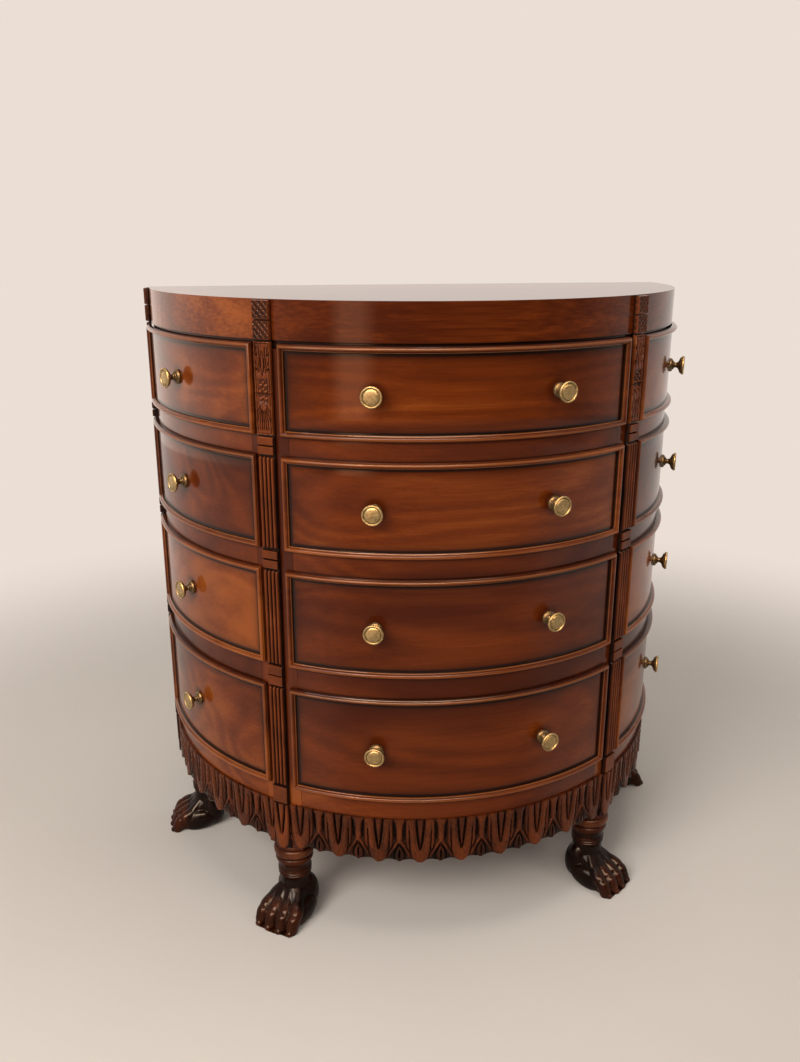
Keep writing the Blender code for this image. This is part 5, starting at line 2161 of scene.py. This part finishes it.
@dataclass
class Studio:
    """Floor, lights, background and camera.

    Attributes:
        camera_place: Place of the camera that took the photograph.
        camera_turn: Its pitch from straight down and its turn from +Y, in degrees.
        lens: Its focal length for a 36 mm long side.
        backdrop: Colour of the background.
        floor_colour: Colour of the floor.
        floor_radius: Radius of the floor.
        floor_fade: Distances where it starts and ends fading into the background.
        room: Colour of the light.
        ambient: Strength of the light from all sides.
        mirrored: Colours that gloss sees round the room, by angle from the front.
        floor_gloss: Colour that takes the floor's place in gloss.
        gloss_dim: Share of that colour.
        lamp_row: Brightness of the row of ceiling lamps that gloss sees in front of the chest.
        lamp_colour: Colour of those lamps.
        left_dim: Share that the ring loses above eye level on the left.
        lamps: Name, place, face and power in watts of each soft lamp.
        aim: Place that the soft lamps face.
    """

    camera_place: Point = (-0.3119, -1.4488, 1.0704)
    camera_turn: tuple[float, float] = (72.712, -9.914)
    lens: float = 32.33
    backdrop: Colour = (0.83, 0.735, 0.665)
    floor_colour: Colour = (0.72, 0.665, 0.61)
    floor_radius: float = 4.0
    floor_fade: tuple[float, float] = (0.9, 2.1)
    room: Colour = (1.0, 0.955, 0.90)
    ambient: float = 0.20
    mirrored: tuple[tuple[float, Colour], ...] = (
        (-180.0, (0.95, 0.85, 0.78)), (-120.0, (2.10, 1.75, 1.50)), (-80.0, (1.45, 1.14, 0.96)),
        (-58.0, (0.60, 0.42, 0.32)), (-44.0, (0.25, 0.14, 0.09)), (-38.0, (4.2, 2.1, 1.2)),
        (-31.0, (4.2, 2.1, 1.2)), (-24.0, (0.20, 0.12, 0.08)), (0.0, (0.03, 0.02, 0.02)),
        (40.0, (0.05, 0.04, 0.03)), (62.0, (0.22, 0.18, 0.15)), (90.0, (0.90, 0.79, 0.72)),
        (180.0, (0.95, 0.85, 0.78)))
    floor_gloss: Colour = (0.06, 0.035, 0.02)
    gloss_dim: float = 0.6
    lamp_row: float = 36.0
    lamp_colour: Colour = (1.0, 0.70, 0.44)
    left_dim: float = 0.62
    lamps: tuple[tuple[str, Point, tuple[float, float], float], ...] = (
        ("window_left", (-1.8, -1.75, 2.0), (1.4, 1.4), 58.0),
        ("window_front", (-0.5, -2.5, 2.2), (1.4, 0.9), 16.0),
        ("window_right", (1.9, -1.7, 2.0), (0.8, 1.2), 6.0),
        ("ceiling", (0.2, -0.2, 2.9), (1.6, 1.0), 24.0))
    aim: Point = (0.0, 0.0, 0.5)

    def dress(self) -> None:
        """Sets up the whole studio."""
        self.stand_camera()
        self.lay_floor()
        self.hang_background()
        for lamp in self.lamps:
            self.hang_lamp(*lamp)

    def stand_camera(self) -> None:
        """Stands the camera where the photograph was taken."""
        lens = bpy.data.cameras.new("camera")
        lens.lens = self.lens
        lens.sensor_width = 36.0
        camera = bpy.data.objects.new("camera", lens)
        bpy.context.collection.objects.link(camera)
        camera.location = self.camera_place
        pitch, turn = map(math.radians, self.camera_turn)
        camera.rotation_euler = (pitch, 0.0, turn)
        bpy.context.scene.camera = camera
        bpy.context.scene.view_settings.view_transform = "Standard"

    def hang_lamp(self, name: str, place: Point, size: tuple[float, float], power: float) -> None:
        """Hangs a soft lamp that faces the chest.

        Args:
            name: Name of the lamp.
            place: Its place.
            size: Width and height of its face.
            power: Its power in watts.
        """
        lamp = bpy.data.lights.new(name, "AREA")
        lamp.shape = "RECTANGLE"
        lamp.size, lamp.size_y = size
        lamp.energy = power
        lamp.color = self.room
        holder = bpy.data.objects.new(name, lamp)
        bpy.context.collection.objects.link(holder)
        holder.location = place
        ahead = Vector(self.aim) - Vector(place)
        holder.rotation_euler = ahead.to_track_quat("-Z", "Y").to_euler()

    def lay_floor(self) -> None:
        """Lays a round pale floor that fades into the background and stays dim in the gloss of the wood."""
        clear_choice()
        bpy.ops.mesh.primitive_circle_add(vertices=128, radius=self.floor_radius, fill_type="NGON",
                                          location=(0, 0, -0.2 * MM))
        floor = named("floor")
        fix_place(floor)
        with editing(floor, Part.FACES):
            choose_all()
            bpy.ops.mesh.inset(thickness=self.floor_radius / 2)
        sheet = Sheet("pale_floor")
        place = sheet.texture("Object")
        clouds = sheet.noise(place, (3.0, 3.0, 3.0), 3.0)
        darker = tuple(0.94 * part for part in self.floor_colour)
        sheet.set(Base_Color=sheet.blend(clouds, darker, self.floor_colour), Roughness=0.55,
                  Specular_IOR_Level=0.1)
        glow = sheet.glow("Emission", self.backdrop)
        dim = sheet.glow("Emission", self.floor_gloss)
        away = sheet.length(place)
        pale = sheet.either(sheet.span(away, *self.floor_fade), sheet.shader.outputs[0], glow)
        path = sheet.node("LightPath", {}).outputs
        ahead = sheet.math("DIVIDE", sheet.parts(place)[1], away)
        glossy = sheet.scaled(sheet.span(ahead, -0.55, -0.85), self.gloss_dim)
        mix = sheet.either(sheet.scaled(glossy, path["Is Glossy Ray"]), pale, dim)
        sheet.feed(sheet.tree.nodes["Material Output"].inputs["Surface"], mix)
        floor.data.materials.append(sheet.stuff)

    def hang_background(self) -> None:
        """Shows the pale backdrop to the eye and a ring of light to gloss, and lights the rest softly."""
        world = bpy.data.worlds.new("room")
        world.use_nodes = True
        bpy.context.scene.world = world
        sheet = Sheet.of_world(world)
        path = sheet.node("LightPath", {}).outputs
        seen = sheet.math("MAXIMUM", path["Is Camera Ray"], path["Is Transmission Ray"])
        parts = sheet.parts(sheet.texture("Generated"))
        ring, lamps = self.gloss_ring(sheet, parts), self.gloss_lamps(sheet, parts)
        gloss = sheet.node("AddShader", {0: ring, 1: lamps}).outputs[0]
        light = sheet.glow("Background", self.room, self.ambient)
        unseen = sheet.either(path["Is Glossy Ray"], light, gloss)
        surface = sheet.either(seen, unseen, sheet.glow("Background", self.backdrop))
        sheet.feed(sheet.node("OutputWorld", {}).inputs["Surface"], surface)

    def gloss_ring(self, sheet: Sheet, parts: Sequence[NodeSocket]) -> NodeSocket:
        """Ring of colours that gloss sees, dimmed above eye level on the left.

        Args:
            sheet: The world's sheet.
            parts: X, Y and Z of the direction looked in.

        Returns:
            The light of the ring.
        """
        turn = sheet.math("ARCTAN2", parts[0], sheet.scaled(parts[1], -1.0))
        share = sheet.total(0.5, sheet.math("DIVIDE", turn, 2 * math.pi))
        stops = [(0.5 + angle / 360.0, colour) for angle, colour in self.mirrored]
        high = sheet.span(parts[2], -0.02, 0.05)
        high_left = sheet.scaled(high, sheet.span(parts[0], -0.40, -0.70))
        dimmed = sheet.rest(sheet.scaled(high_left, self.left_dim))
        return sheet.glow("Background", sheet.ramp(share, stops), dimmed)

    def gloss_lamps(self, sheet: Sheet, parts: Sequence[NodeSocket]) -> NodeSocket:
        """Row of lamps that gloss sees high in front of the chest.

        Args:
            sheet: The world's sheet.
            parts: X, Y and Z of the direction looked in.

        Returns:
            The light of the lamps.
        """
        row = sheet.math("SUBTRACT", sheet.span(parts[2], 0.58, 0.64), sheet.span(parts[2], 0.76, 0.82))
        in_front = sheet.span(sheet.scaled(parts[1], -1.0), 0.10, 0.40)
        for limit in (in_front, sheet.span(parts[0], 0.55, 0.0), sheet.span(parts[0], -0.56, -0.42)):
            row = sheet.scaled(row, limit)
        return sheet.glow("Background", self.lamp_colour, sheet.scaled(row, self.lamp_row))


def main() -> None:
    """Builds and dresses the chest, sub-assembly by sub-assembly."""
    logging.basicConfig(level=logging.INFO, format="%(name)s: %(message)s")
    HalfRoundTop().dress()
    BowedFrieze().dress()
    for node, board, tone in (("base_board", 3.4, 0.15), ("dust_board_3", 5.7, -0.9),
                              ("dust_board_2", 8.0, -0.6), ("dust_board_1", 10.3, -0.4)):
        RailedBoard(node, board, tone).dress()
    for node in ("partition_left", "partition_right"):
        dress_node(node, UPRIGHT_LINING)
    dress_node("back_panel", LINING)
    DrawerRun(BowedFront(), TurnedKnob()).dress()
    for bay in BAYS:
        LeafApron(bay).dress()
    CarvedPilaster().dress()
    PawFoot().dress()
    Studio().dress()


if __name__ == "__main__":
    main()
